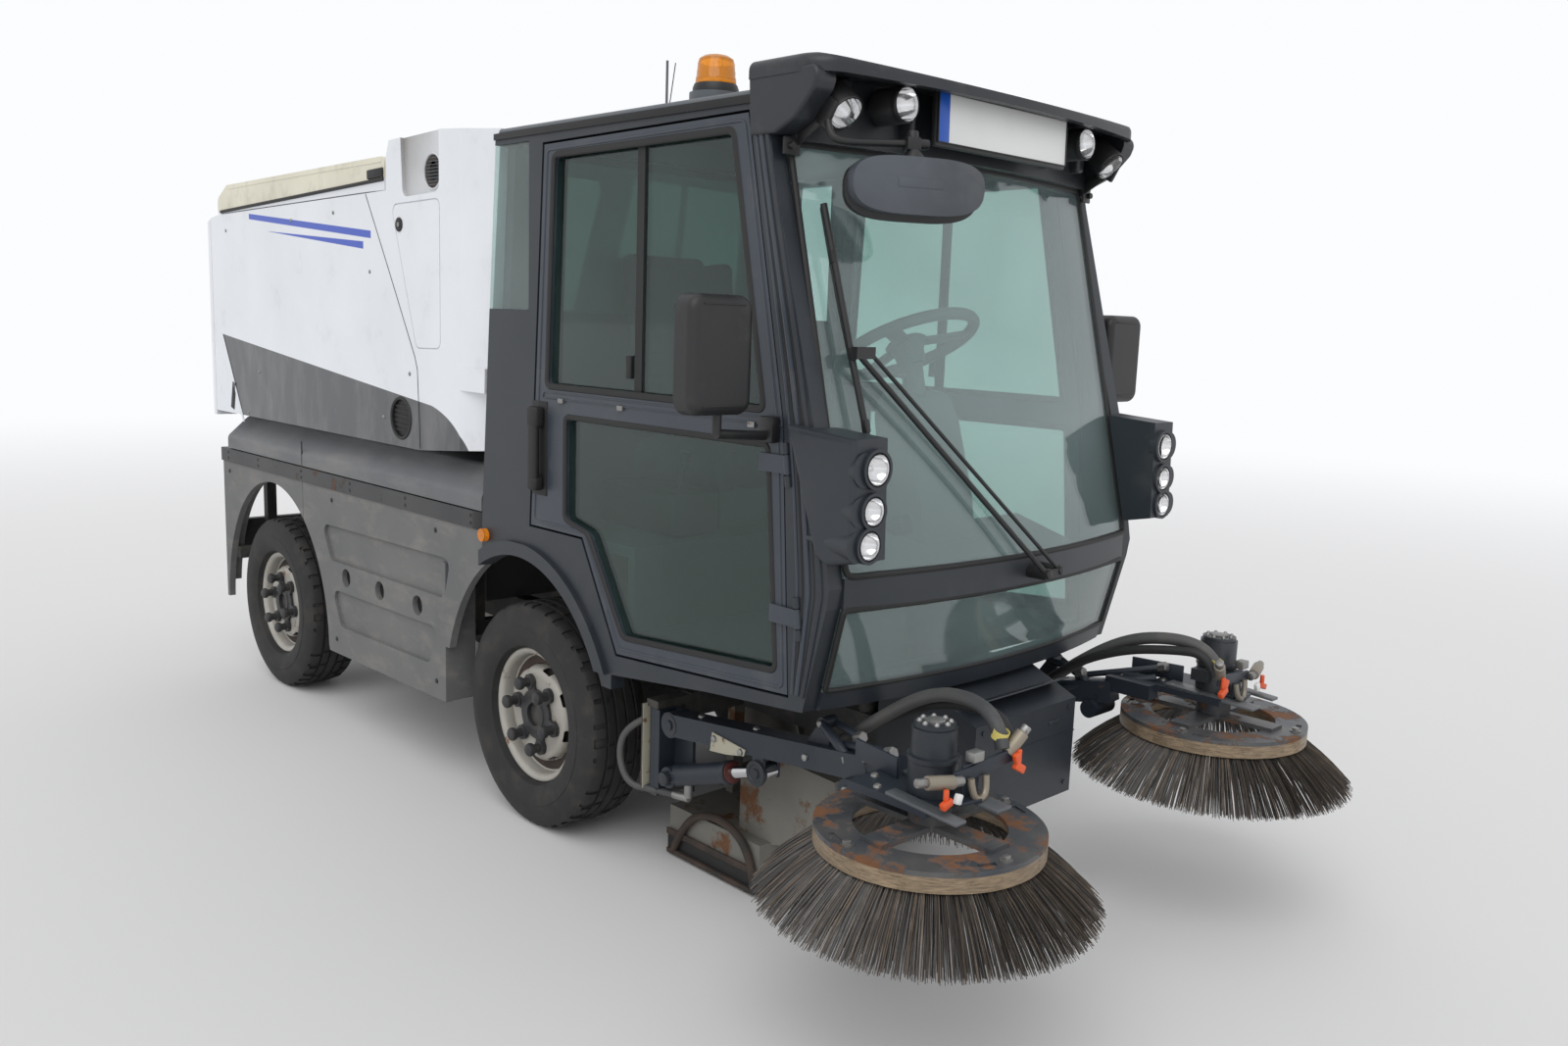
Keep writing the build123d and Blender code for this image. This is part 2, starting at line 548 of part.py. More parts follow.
# Water tank, guard rail, side panels, lamps
tank_profile = [(-tank_half, tank_z), (-tank_half, 1010), (-tank_half + 90, 1092), (tank_half - 90, 1092),
                (tank_half, 1010), (tank_half, tank_z), (420, tank_z), (420, 1040), (-420, 1040), (-420, tank_z)]
tank_face = make_face(Polyline(*tank_profile, close=True))
tank_face = fillet([v for v in tank_face.vertices() if v.Y > 1000 and abs(v.X) > 430], 30)
tank = extrude(Plane.XZ.offset(-2090) * tank_face, 2090 - 10)
tank -= block(-215, 215, tip_pivot_y - 140, 2200, 900, 1200) + block(-115, 115, 0, 300, 900, 1200)
save("water_tank", tank)
guard_half = tank_half + 4
guard_t = 22
guard_inner = guard_half - guard_t
guard_rail = block(-guard_inner, guard_inner, guard_y0, guard_y0 + guard_t, guard_z0, guard_z1)
for shape in both(block(guard_inner, guard_half, 6, guard_y0 + guard_t, guard_z0, guard_z1)):
    guard_rail += shape
save("guard_rail", guard_rail)
panel_top = guard_z0 - fit_gap
panel_joint_y = 1340
skirt = side_prism([(239, 290), (1122, 279), (1196, 480), (panel_joint_y - 3, 480), (panel_joint_y - 3, panel_top),
                    (-8, panel_top), (-8, 480), (239, 480)], tank_half - skirt_t, tank_half)
skirt -= arch(front_arch, 0, tank_half - 40, tank_half + 10) + arch(rear_arch, 0, tank_half - 40, tank_half + 10)
recess_upper = rounded_side_prism([(1173, 762), (206, 777), (246, 641), (1095, 630)], tank_half - 12, tank_half + 5, 30)
recess_lower = rounded_side_prism([(1092, 522), (287, 534), (349, 400), (1022, 388)], tank_half - 12, tank_half + 5, 30)
skirt -= recess_upper + recess_lower
for y in (972, 706, 430):
    skirt -= rod_x(34, tank_half - 30, tank_half + 5, y, 583)
skirt += block(tank_half - 110, tank_half, 239, 262, 292, 760)
fender = side_prism([(panel_joint_y, panel_top), (2150, panel_top), (2150, 306), (panel_joint_y, 306)],
                    tank_half - 60, tank_half)
fender -= arch(rear_arch, 0, tank_half - 70, tank_half + 10)
fender -= arch(rear_arch, 25, tank_half - 70, tank_half - skirt_t)
save("side_panels", both(skirt), both(fender))
tail = both(block(rear_bar_half - 110, rear_bar_half - 10, rear_bar_y1 + fit_gap, rear_bar_y1 + 30, 540, 620))
markers = both(rod_x(20, cab_half + fit_gap, cab_half + 18, -36, 895))
save("signal_lamps", tail, markers)

# Hopper with cowl, lid and tailgate
gate_top_z = hopper_top_z - 35
gate_pin_y = hopper_rear_y + 12
gate_pin_z = gate_top_z + 20
lid_pin_y = 600
lid_pin_z = hopper_top_z + 134
seam = [(738, hopper_top_z), (388, 1391), (375, hopper_floor_z)]
hopper_outline = seam + [(hopper_rear_y, hopper_floor_z), (hopper_rear_y, gate_top_z),
                         (2080, hopper_top_z - 24)]
hopper = side_prism(hopper_outline, -hopper_half, hopper_half)
inner_outline = [(738 + 40, hopper_top_z + 50), (388 + 36, 1391), (375 + 36, hopper_floor_z + hopper_wall),
                 (hopper_rear_y + 50, hopper_floor_z + hopper_wall), (hopper_rear_y + 50, hopper_top_z + 50)]
hopper -= side_prism(inner_outline, -hopper_half + hopper_wall, hopper_half - hopper_wall)
lug = block(182, 205, tip_pivot_y - 34, tip_pivot_y + 34, tip_pivot_z - 34, hopper_floor_z + 5)
lug += rod_x(tip_pin_r - fit_gap, 118, 205, tip_pivot_y, tip_pivot_z)
for shape in both(lug):
    hopper += shape
hopper += block(-hopper_half, hopper_half, 2086, hopper_rear_y, gate_top_z - 28, gate_top_z)
for x in (-430, -370, 370, 430):
    hopper += rod_x(16, x - 8, x + 8, gate_pin_y, gate_pin_z)
    hopper += block(x - 8, x + 8, 2130, gate_pin_y, gate_top_z - 5, gate_pin_z + 15)
    hopper -= rod_x(hinge_pin_r + fit_gap, x - 10, x + 10, gate_pin_y, gate_pin_z)
vent = rod_x(68, hopper_half - 9, hopper_half + 5, 504, 1210)
for shape in both(vent):
    hopper -= shape
save("hopper_shell", hopper)
cowl_outline = [(-82, hopper_top_z + 148), (262, hopper_top_z + 171), (567, hopper_top_z + 160),
                (588, hopper_top_z + 110), (592, hopper_top_z + 3), (737.6, hopper_top_z), (387.6, 1391),
                (374.7, hopper_floor_z), (-20, 1149), (-34, 1452)]
cowl = side_prism(cowl_outline, -hopper_half, hopper_half)
cowl_inner = [(-50, hopper_top_z + 120), (262, hopper_top_z + 143), (545, hopper_top_z + 134), (560, hopper_top_z - 20),
              (680, hopper_top_z - 30), (350, 1391), (345, 1000), (140, 1000), (140, 1330), (0, 1460)]
cowl -= side_prism(cowl_inner, -hopper_half + 50, hopper_half - 50)
# Recess with a round hole, hatch and the corners ahead of them
recess_t = 14
hatch = [(551, 1903), (238, 1910), (239, 1451), (393, 1448)]
hatch_seam = fillet(grown(hatch, 4).vertices(), 28) - fillet(make_face(Polyline(*hatch, close=True)).vertices(), 24)
cowl_cuts = [extrude(Plane.YZ.offset(hopper_half - 5) * hatch_seam, 10)]
cowl_cuts.append(rounded_side_prism([(490, 2140), (238, 2140), (238, 1933), (476, 1926)], hopper_half - recess_t,
                                    hopper_half + 5, 28))
cowl_cuts.append(rod_x(36, hopper_half - 40, hopper_half + 5, 286, 1998))
upper_corner = make_face(Polyline((hopper_half + 2, 130), (hopper_half + 2, -120), (hopper_half - 30, -120), close=True))
cowl_cuts.append(extrude(Plane.XY.offset(1400) * upper_corner, 800))
lower_corner = make_face(Polyline((hopper_half + 2, 126), (hopper_half + 2, -80), (hopper_half - 62, -80), close=True))
cowl_cuts.append(extrude(Plane.XY.offset(1100) * lower_corner, 226, taper=0))
for cut in cowl_cuts:
    for shape in both(cut):
        cowl -= shape
for x in (-430, -370, 370, 430):
    cowl += rod_x(14, x - 8, x + 8, lid_pin_y, lid_pin_z) + block(x - 8, x + 8, 562, lid_pin_y, lid_pin_z - 13, lid_pin_z + 13)
    cowl -= rod_x(hinge_pin_r + fit_gap, x - 10, x + 10, lid_pin_y, lid_pin_z)
save("hopper_cowl", cowl)
lid_outline = make_face(Polyline((598, hopper_top_z + 4), (598, hopper_top_z + 114), (1980, hopper_top_z + 90),
                                 (2080, hopper_top_z + 40), (2080, hopper_top_z - 20), (2060, hopper_top_z - 25),
                                 (740, hopper_top_z + 4), close=True))
lid_outline = fillet([v for v in lid_outline.vertices() if v.Y > hopper_top_z + 30], 30)
lid = extrude(Plane.YZ.offset(-hopper_half) * lid_outline, 2 * hopper_half)
lid -= side_prism([(760, hopper_top_z - 20), (760, hopper_top_z + 80), (1960, hopper_top_z + 60),
                   (2045, hopper_top_z + 20), (2045, hopper_top_z - 50)], -hopper_half + 25, hopper_half - 25)
lid -= side_prism([(700, hopper_top_z - 50), (738, hopper_top_z + 4), (2080, hopper_top_z - 20), (hopper_rear_y, gate_top_z), (hopper_rear_y, 1880)],
                  -hopper_half - 5, hopper_half + 5)
for x in (-400, 400):
    lid += block(x - 20, x + 20, lid_pin_y, 650, hopper_top_z + 100, lid_pin_z + 8)
    lid += rod_x(hinge_pin_r, x - 40, x + 40, lid_pin_y, lid_pin_z) + rod_x(12, x - 20, x + 20, lid_pin_y, lid_pin_z)
save("hopper_lid", lid)
gate_y0 = hopper_rear_y + 4
tailgate = side_prism([(gate_y0, hopper_floor_z - 20), (gate_y0, gate_top_z - 5), (gate_y0 + tailgate_t, gate_top_z - 13),
                       (gate_y0 + tailgate_t, hopper_floor_z - 20)], -hopper_half, hopper_half)
for x in (-400, 400):
    tailgate += block(x - 20, x + 20, gate_y0, gate_y0 + tailgate_t - 6, gate_top_z - 40, gate_pin_z + 8)
    tailgate += rod_x(hinge_pin_r, x - 40, x + 40, gate_pin_y, gate_pin_z)
save("hopper_tailgate", tailgate)

# Suction mouth and duct, front box
mouth = block(-370, 370, -1030, -640, 90, 150) + block(-110, 110, -930, -640, 150, 215)
for x0, x1, y0, y1 in ((-370, 370, -1030, -1012), (-370, 370, -658, -640), (-370, -352, -1030, -640),
                       (352, 370, -1030, -640)):
    mouth += block(x0, x1, y0, y1, 6, 90)
mouth += side_prism([(-1290, 290), (-1262, 392), (-1060, 400), (-900, 330), (-900, 140), (-1020, 140), (-1200, 190)],
                    -330, 330)
duct_r = 80
duct_path = FilletPolyline((0, -720, 210), (0, -560, 600), (0, 140, 600), (0, 140, 1112), radius=130)
duct = sweep(Plane(origin=duct_path @ 0, z_dir=duct_path % 0) * Circle(duct_r), path=duct_path)
for x in (-rail_x, rail_x):
    mouth += block(x - 20, x + 20, -690, -660, 149, rail_z - fit_gap)
save("suction_mouth", mouth + duct)
box_half = 215
front_box = side_prism([(-1620, 350), (-1620, 610), (-1470, 672), (-1300, 672), (-1300, 350)], -box_half, box_half)
save("front_box", front_box)


# Brush gear: a yoke that swings on the chassis, a lift cylinder, an arm that lifts, and the brush
def brush_side(name, side):
    ear_in, ear_out = arm_bar / 2 + 3, arm_bar / 2 + 13
    lift_pin_r = 14
    yoke = rod_z(24, arm_x, swing_y, swing_z0, swing_z1)
    yoke += block(arm_x - ear_out, arm_x + 24, arm_pivot_y + 52, swing_y - 12, swing_z0 + 4, swing_z1)
    yoke += block(arm_x - ear_out, arm_x - ear_in, arm_pivot_y - 26, arm_pivot_y + 62, swing_z0 + 4, swing_z1)
    yoke -= rod_z(swing_pin_r + fit_gap, arm_x, swing_y, swing_z0 - 5, swing_z1 + 5)
    yoke -= rod_x(lift_pin_r + fit_gap, arm_x - 60, arm_x + 60, arm_pivot_y, arm_pivot_z)
    root_y, root_z = arm_pivot_y + 10, 307
    eye_y, eye_z = -1160, 430
    yoke -= rod_x(lift_pin_r + fit_gap, arm_x - 60, arm_x + 60, root_y, root_z)
    save(f"brush_yoke_{name}", on_side(yoke, side))
    length = hypot(eye_y - root_y, eye_z - root_z)
    run_y, run_z = (eye_y - root_y) / length, (eye_z - root_z) / length
    root = (arm_x, root_y, root_z)
    mouth_end = (arm_x, root_y + run_y * 250, root_z + run_z * 250)
    bore_end = (arm_x, root_y + run_y * 110, root_z + run_z * 110)
    past_mouth = (arm_x, root_y + run_y * 255, root_z + run_z * 255)
    barrel = strut(root, mouth_end, 30) + rod_x(30, arm_x - 26, arm_x + 26, root_y, root_z)
    barrel += rod_x(lift_pin_r, arm_x - ear_out, arm_x + 30, root_y, root_z)
    barrel -= strut(bore_end, past_mouth, rod_r + fit_gap)
    save(f"lift_barrel_{name}", on_side(barrel, side))
    inner_end = (arm_x, root_y + run_y * 180, root_z + run_z * 180)
    rod = strut(inner_end, (arm_x, eye_y, eye_z), rod_r) + rod_x(24, arm_x - 20, arm_x + 20, eye_y, eye_z)
    rod -= rod_x(eye_pin_r + 1.5, arm_x - 30, arm_x + 30, eye_y, eye_z)
    save(f"lift_rod_{name}", on_side(rod, side))
    arm = bar((arm_x, arm_pivot_y + 20, arm_pivot_z - 2), (arm_x, -1378, 528), arm_bar, arm_bar)
    arm += bar((arm_x, -1370, 527), (arm_x + 30, -1560, 560), arm_bar, arm_bar)
    arm += rod_x(lift_pin_r, arm_x - ear_out, arm_x + arm_bar / 2 + 6, arm_pivot_y, arm_pivot_z)
    for x0, x1 in ((arm_x - 31, arm_x - 21), (arm_x + 21, arm_x + 31)):
        arm += block(x0, x1, eye_y - 20, eye_y + 20, eye_z - 18, 480)
    arm += rod_x(eye_pin_r, arm_x - 31, arm_x + 31, eye_y, eye_z)
    arm += rod_x(36, arm_x - arm_bar / 2, arm_x + arm_bar / 2, arm_pivot_y, arm_pivot_z)
    arm += side_prism([(-1300, 540), (-1384, 555), (-1384, 628), (-1362, 628)], arm_x - 5, arm_x + 5)
    arm += rod_x(15, arm_x - 22, arm_x + 22, -1372, 616)
    arm += rod_x(26, arm_x - 25, arm_x + 78, -1512, 503) + block(arm_x - 8, arm_x + 8, -1532, -1492, 503, 545)
    arm += block(arm_x + 10, arm_x + 60, -1680, -1540, 562, 604)
    arm += block(arm_x + 40, brush_x + 40, -1700, -1650, 586, 604)
    arm += block(brush_x - 90, brush_x + 90, brush_y - 60, brush_y + 160, 586, 604)
    save(f"brush_arm_{name}", on_side(arm, side))
    motor = rod_z(53, brush_x, brush_y, 604 + fit_gap, 682) + rod_z(49, brush_x, brush_y, 682, 748)
    motor += rod_z(44, brush_x, brush_y, 748, 758) + block(brush_x - 80, brush_x - 40, brush_y - 14, brush_y + 34, 640, 672)
    save(f"brush_motor_{name}", on_side(motor, side))
    hub = Pos(brush_x, brush_y, ring_z)
    disc = hub * (Cylinder(ring_r, 10) - Cylinder(ring_hole_r, 12))
    for angle in (0, 90):
        disc += hub * Pos(0, 0, 8) * Rot(0, 0, angle) * Box(2 * ring_hole_r + 40, 60, 12)
    disc += rod_z(46, brush_x, brush_y, ring_z + 2, 586 - fit_gap)
    disc += hub * Pos(0, 0, -22) * (Cylinder(ring_r, 34) - Cylinder(ring_hole_r + 25, 36))
    for angle in (20, 110, 200, 290):
        disc -= hub * Rot(0, 0, angle) * Pos(224, 0, 4) * Box(14, 42, 6)
    save(f"brush_disc_{name}", on_side(disc, side))
    skirt_top = ring_z - 39.3
    tuft_skirt = Polyline((ring_r - 4, skirt_top), (bristle_tip_r, bristle_tip_z),
                          (bristle_tip_r - 70, bristle_tip_z - 14), (ring_hole_r + 30, skirt_top), close=True)
    bristles = Pos(brush_x, brush_y, 0) * revolve(Plane.XZ * make_face(tuft_skirt), Axis.Z)
    save(f"brush_bristles_{name}", on_side(bristles, side))


for name, side in sides:
    brush_side(name, side)
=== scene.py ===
import bpy
import json
import random
from math import atan2, cos, hypot, pi, radians, sin
from mathutils import Matrix, Vector


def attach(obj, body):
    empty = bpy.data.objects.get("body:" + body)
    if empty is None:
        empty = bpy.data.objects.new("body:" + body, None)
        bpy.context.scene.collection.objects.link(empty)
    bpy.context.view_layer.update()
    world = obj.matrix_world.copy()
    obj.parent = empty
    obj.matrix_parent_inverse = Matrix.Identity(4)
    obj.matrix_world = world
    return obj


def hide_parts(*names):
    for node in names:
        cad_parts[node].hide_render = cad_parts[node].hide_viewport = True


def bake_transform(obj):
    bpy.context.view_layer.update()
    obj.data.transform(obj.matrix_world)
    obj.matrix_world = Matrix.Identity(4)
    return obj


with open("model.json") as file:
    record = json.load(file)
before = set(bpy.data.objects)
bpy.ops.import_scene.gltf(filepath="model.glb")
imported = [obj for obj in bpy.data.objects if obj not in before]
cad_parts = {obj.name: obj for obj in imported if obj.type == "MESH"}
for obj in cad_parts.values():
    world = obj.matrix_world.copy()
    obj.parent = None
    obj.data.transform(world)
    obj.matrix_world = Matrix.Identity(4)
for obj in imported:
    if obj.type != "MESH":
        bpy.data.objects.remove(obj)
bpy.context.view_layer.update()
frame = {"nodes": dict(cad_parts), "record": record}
scene = bpy.context.scene
nodes = frame["nodes"]
print("stage: frame loaded")


# ---- node helpers
def feed(tree, socket, value):          # a link, a colour or a number goes into the socket
    if hasattr(value, "is_output"):
        tree.links.new(value, socket)
    elif isinstance(value, tuple) and len(value) == 3 and len(socket.default_value) == 4:
        socket.default_value = (*value, 1)
    else:
        socket.default_value = value


def newNode(tree, kind, inputs=None, **settings):
    node = tree.nodes.new("ShaderNode" + kind)
    for key, value in settings.items():
        setattr(node, key, value)
    for key, value in (inputs or {}).items():
        feed(tree, node.inputs[key], value)
    return node


def noiseAt(tree, where, scale, detail=3, roughness=0.55, stretch=None):
    if stretch:
        where = newNode(tree, "Mapping", {"Vector": where, "Scale": stretch}).outputs["Vector"]
    values = {"Vector": where, "Scale": scale, "Detail": detail, "Roughness": roughness}
    return newNode(tree, "TexNoise", values).outputs["Fac"]


def rangeOf(tree, value, low, high, toLow=0.0, toHigh=1.0):
    values = {"Value": value, "From Min": low, "From Max": high, "To Min": toLow, "To Max": toHigh}
    return newNode(tree, "MapRange", values, clamp=True).outputs["Result"]


def maths(tree, kind, first, second):
    return newNode(tree, "Math", {0: first, 1: second}, operation=kind).outputs[0]


def allOf(tree, values):
    total = values[0]
    for value in values[1:]:
        total = maths(tree, "MULTIPLY", total, value)
    return total


def colourMix(tree, amount, under, over):
    return newNode(tree, "Mix", {"Factor": amount, 6: under, 7: over}, data_type="RGBA").outputs[2]


def axisOf(tree, where, axis):
    return newNode(tree, "SeparateXYZ", {0: where}).outputs[axis]


def shaderMix(tree, amount, first, second):
    return newNode(tree, "MixShader", {0: amount, 1: first, 2: second}).outputs[0]


def graphOf(name):
    material = bpy.data.materials.new(name)
    material.use_nodes = True
    tree = material.node_tree
    return material, tree, tree.nodes["Principled BSDF"], newNode(tree, "TexCoord").outputs["Object"]


# ---- camera, light and floor
photo = {"place": (-2.6135, -3.3990, 1.5714), "yaw": 0.768948, "pitch": -0.158604, "roll": 0.035704,
         "lens": 28.83, "sensor": 36.0, "near": 0.05}
studio = {"worldLight": 0.85, "skyColour": (0.97, 0.98, 1.0), "sunLight": 1.0, "sunSpread": 50, "sunTurn": (38, -18, -35),
          "floorColour": (0.70, 0.695, 0.69), "floorRough": 0.9, "floorSize": 400, "fade": (4.0, 16.0)}


def placeCamera(setup):
    yaw, pitch, roll = setup["yaw"], setup["pitch"], setup["roll"]
    forward = Vector((sin(yaw) * cos(pitch), cos(yaw) * cos(pitch), sin(pitch)))
    level = forward.cross(Vector((0, 0, 1))).normalized()
    above = level.cross(forward)
    right = level * cos(roll) + above * sin(roll)
    up = above * cos(roll) - level * sin(roll)
    data = bpy.data.cameras.new("photoCamera")
    data.lens = setup["lens"]
    data.sensor_width = setup["sensor"]
    data.sensor_fit = "HORIZONTAL"
    data.clip_start = setup["near"]
    camera = bpy.data.objects.new("photoCamera", data)
    camera.matrix_world = Matrix.Translation(setup["place"]) @ Matrix((right, up, -forward)).transposed().to_4x4()
    scene.collection.objects.link(camera)
    scene.camera = camera


def lightStudio(setup):
    world = bpy.data.worlds.new("studioSky")
    scene.world = world
    world.use_nodes = True
    tree = world.node_tree
    seen = newNode(tree, "LightPath").outputs["Is Camera Ray"]
    strength = newNode(tree, "Mix", {"Factor": seen, "A": setup["worldLight"], "B": 1.0})
    feed(tree, tree.nodes["Background"].inputs["Strength"], strength.outputs["Result"])
    feed(tree, tree.nodes["Background"].inputs["Color"], setup["skyColour"])
    sun = bpy.data.lights.new("softSun", "SUN")
    sun.energy = setup["sunLight"]
    sun.angle = radians(setup["sunSpread"])
    lamp = bpy.data.objects.new("softSun", sun)
    lamp.rotation_euler = [radians(turn) for turn in setup["sunTurn"]]
    scene.collection.objects.link(lamp)


def layFloor(setup):                    # the floor fades into the sky with distance
    bpy.ops.object.select_all(action="DESELECT")
    bpy.ops.mesh.primitive_plane_add(size=setup["floorSize"], location=(0, 0, 0))
    floor = bpy.context.object
    floor.name = "studioFloor"
    material, tree, shader, where = graphOf("studioFloor")
    feed(tree, shader.inputs["Base Color"], setup["floorColour"])
    feed(tree, shader.inputs["Roughness"], setup["floorRough"])
    spot = newNode(tree, "NewGeometry").outputs["Position"]
    away = newNode(tree, "VectorMath", {0: spot}, operation="LENGTH").outputs["Value"]
    ends = {"Value": away, "From Min": setup["fade"][0], "From Max": setup["fade"][1]}
    share = newNode(tree, "MapRange", ends, interpolation_type="SMOOTHSTEP").outputs["Result"]
    sky = newNode(tree, "Emission", {"Color": setup["skyColour"]}).outputs[0]
    feed(tree, tree.nodes["Material Output"].inputs["Surface"], shaderMix(tree, share, shader.outputs[0], sky))
    floor.data.materials.append(material)


placeCamera(photo)
lightStudio(studio)
layFloor(studio)
scene.view_settings.view_transform = "Standard"
print("stage: camera and light")

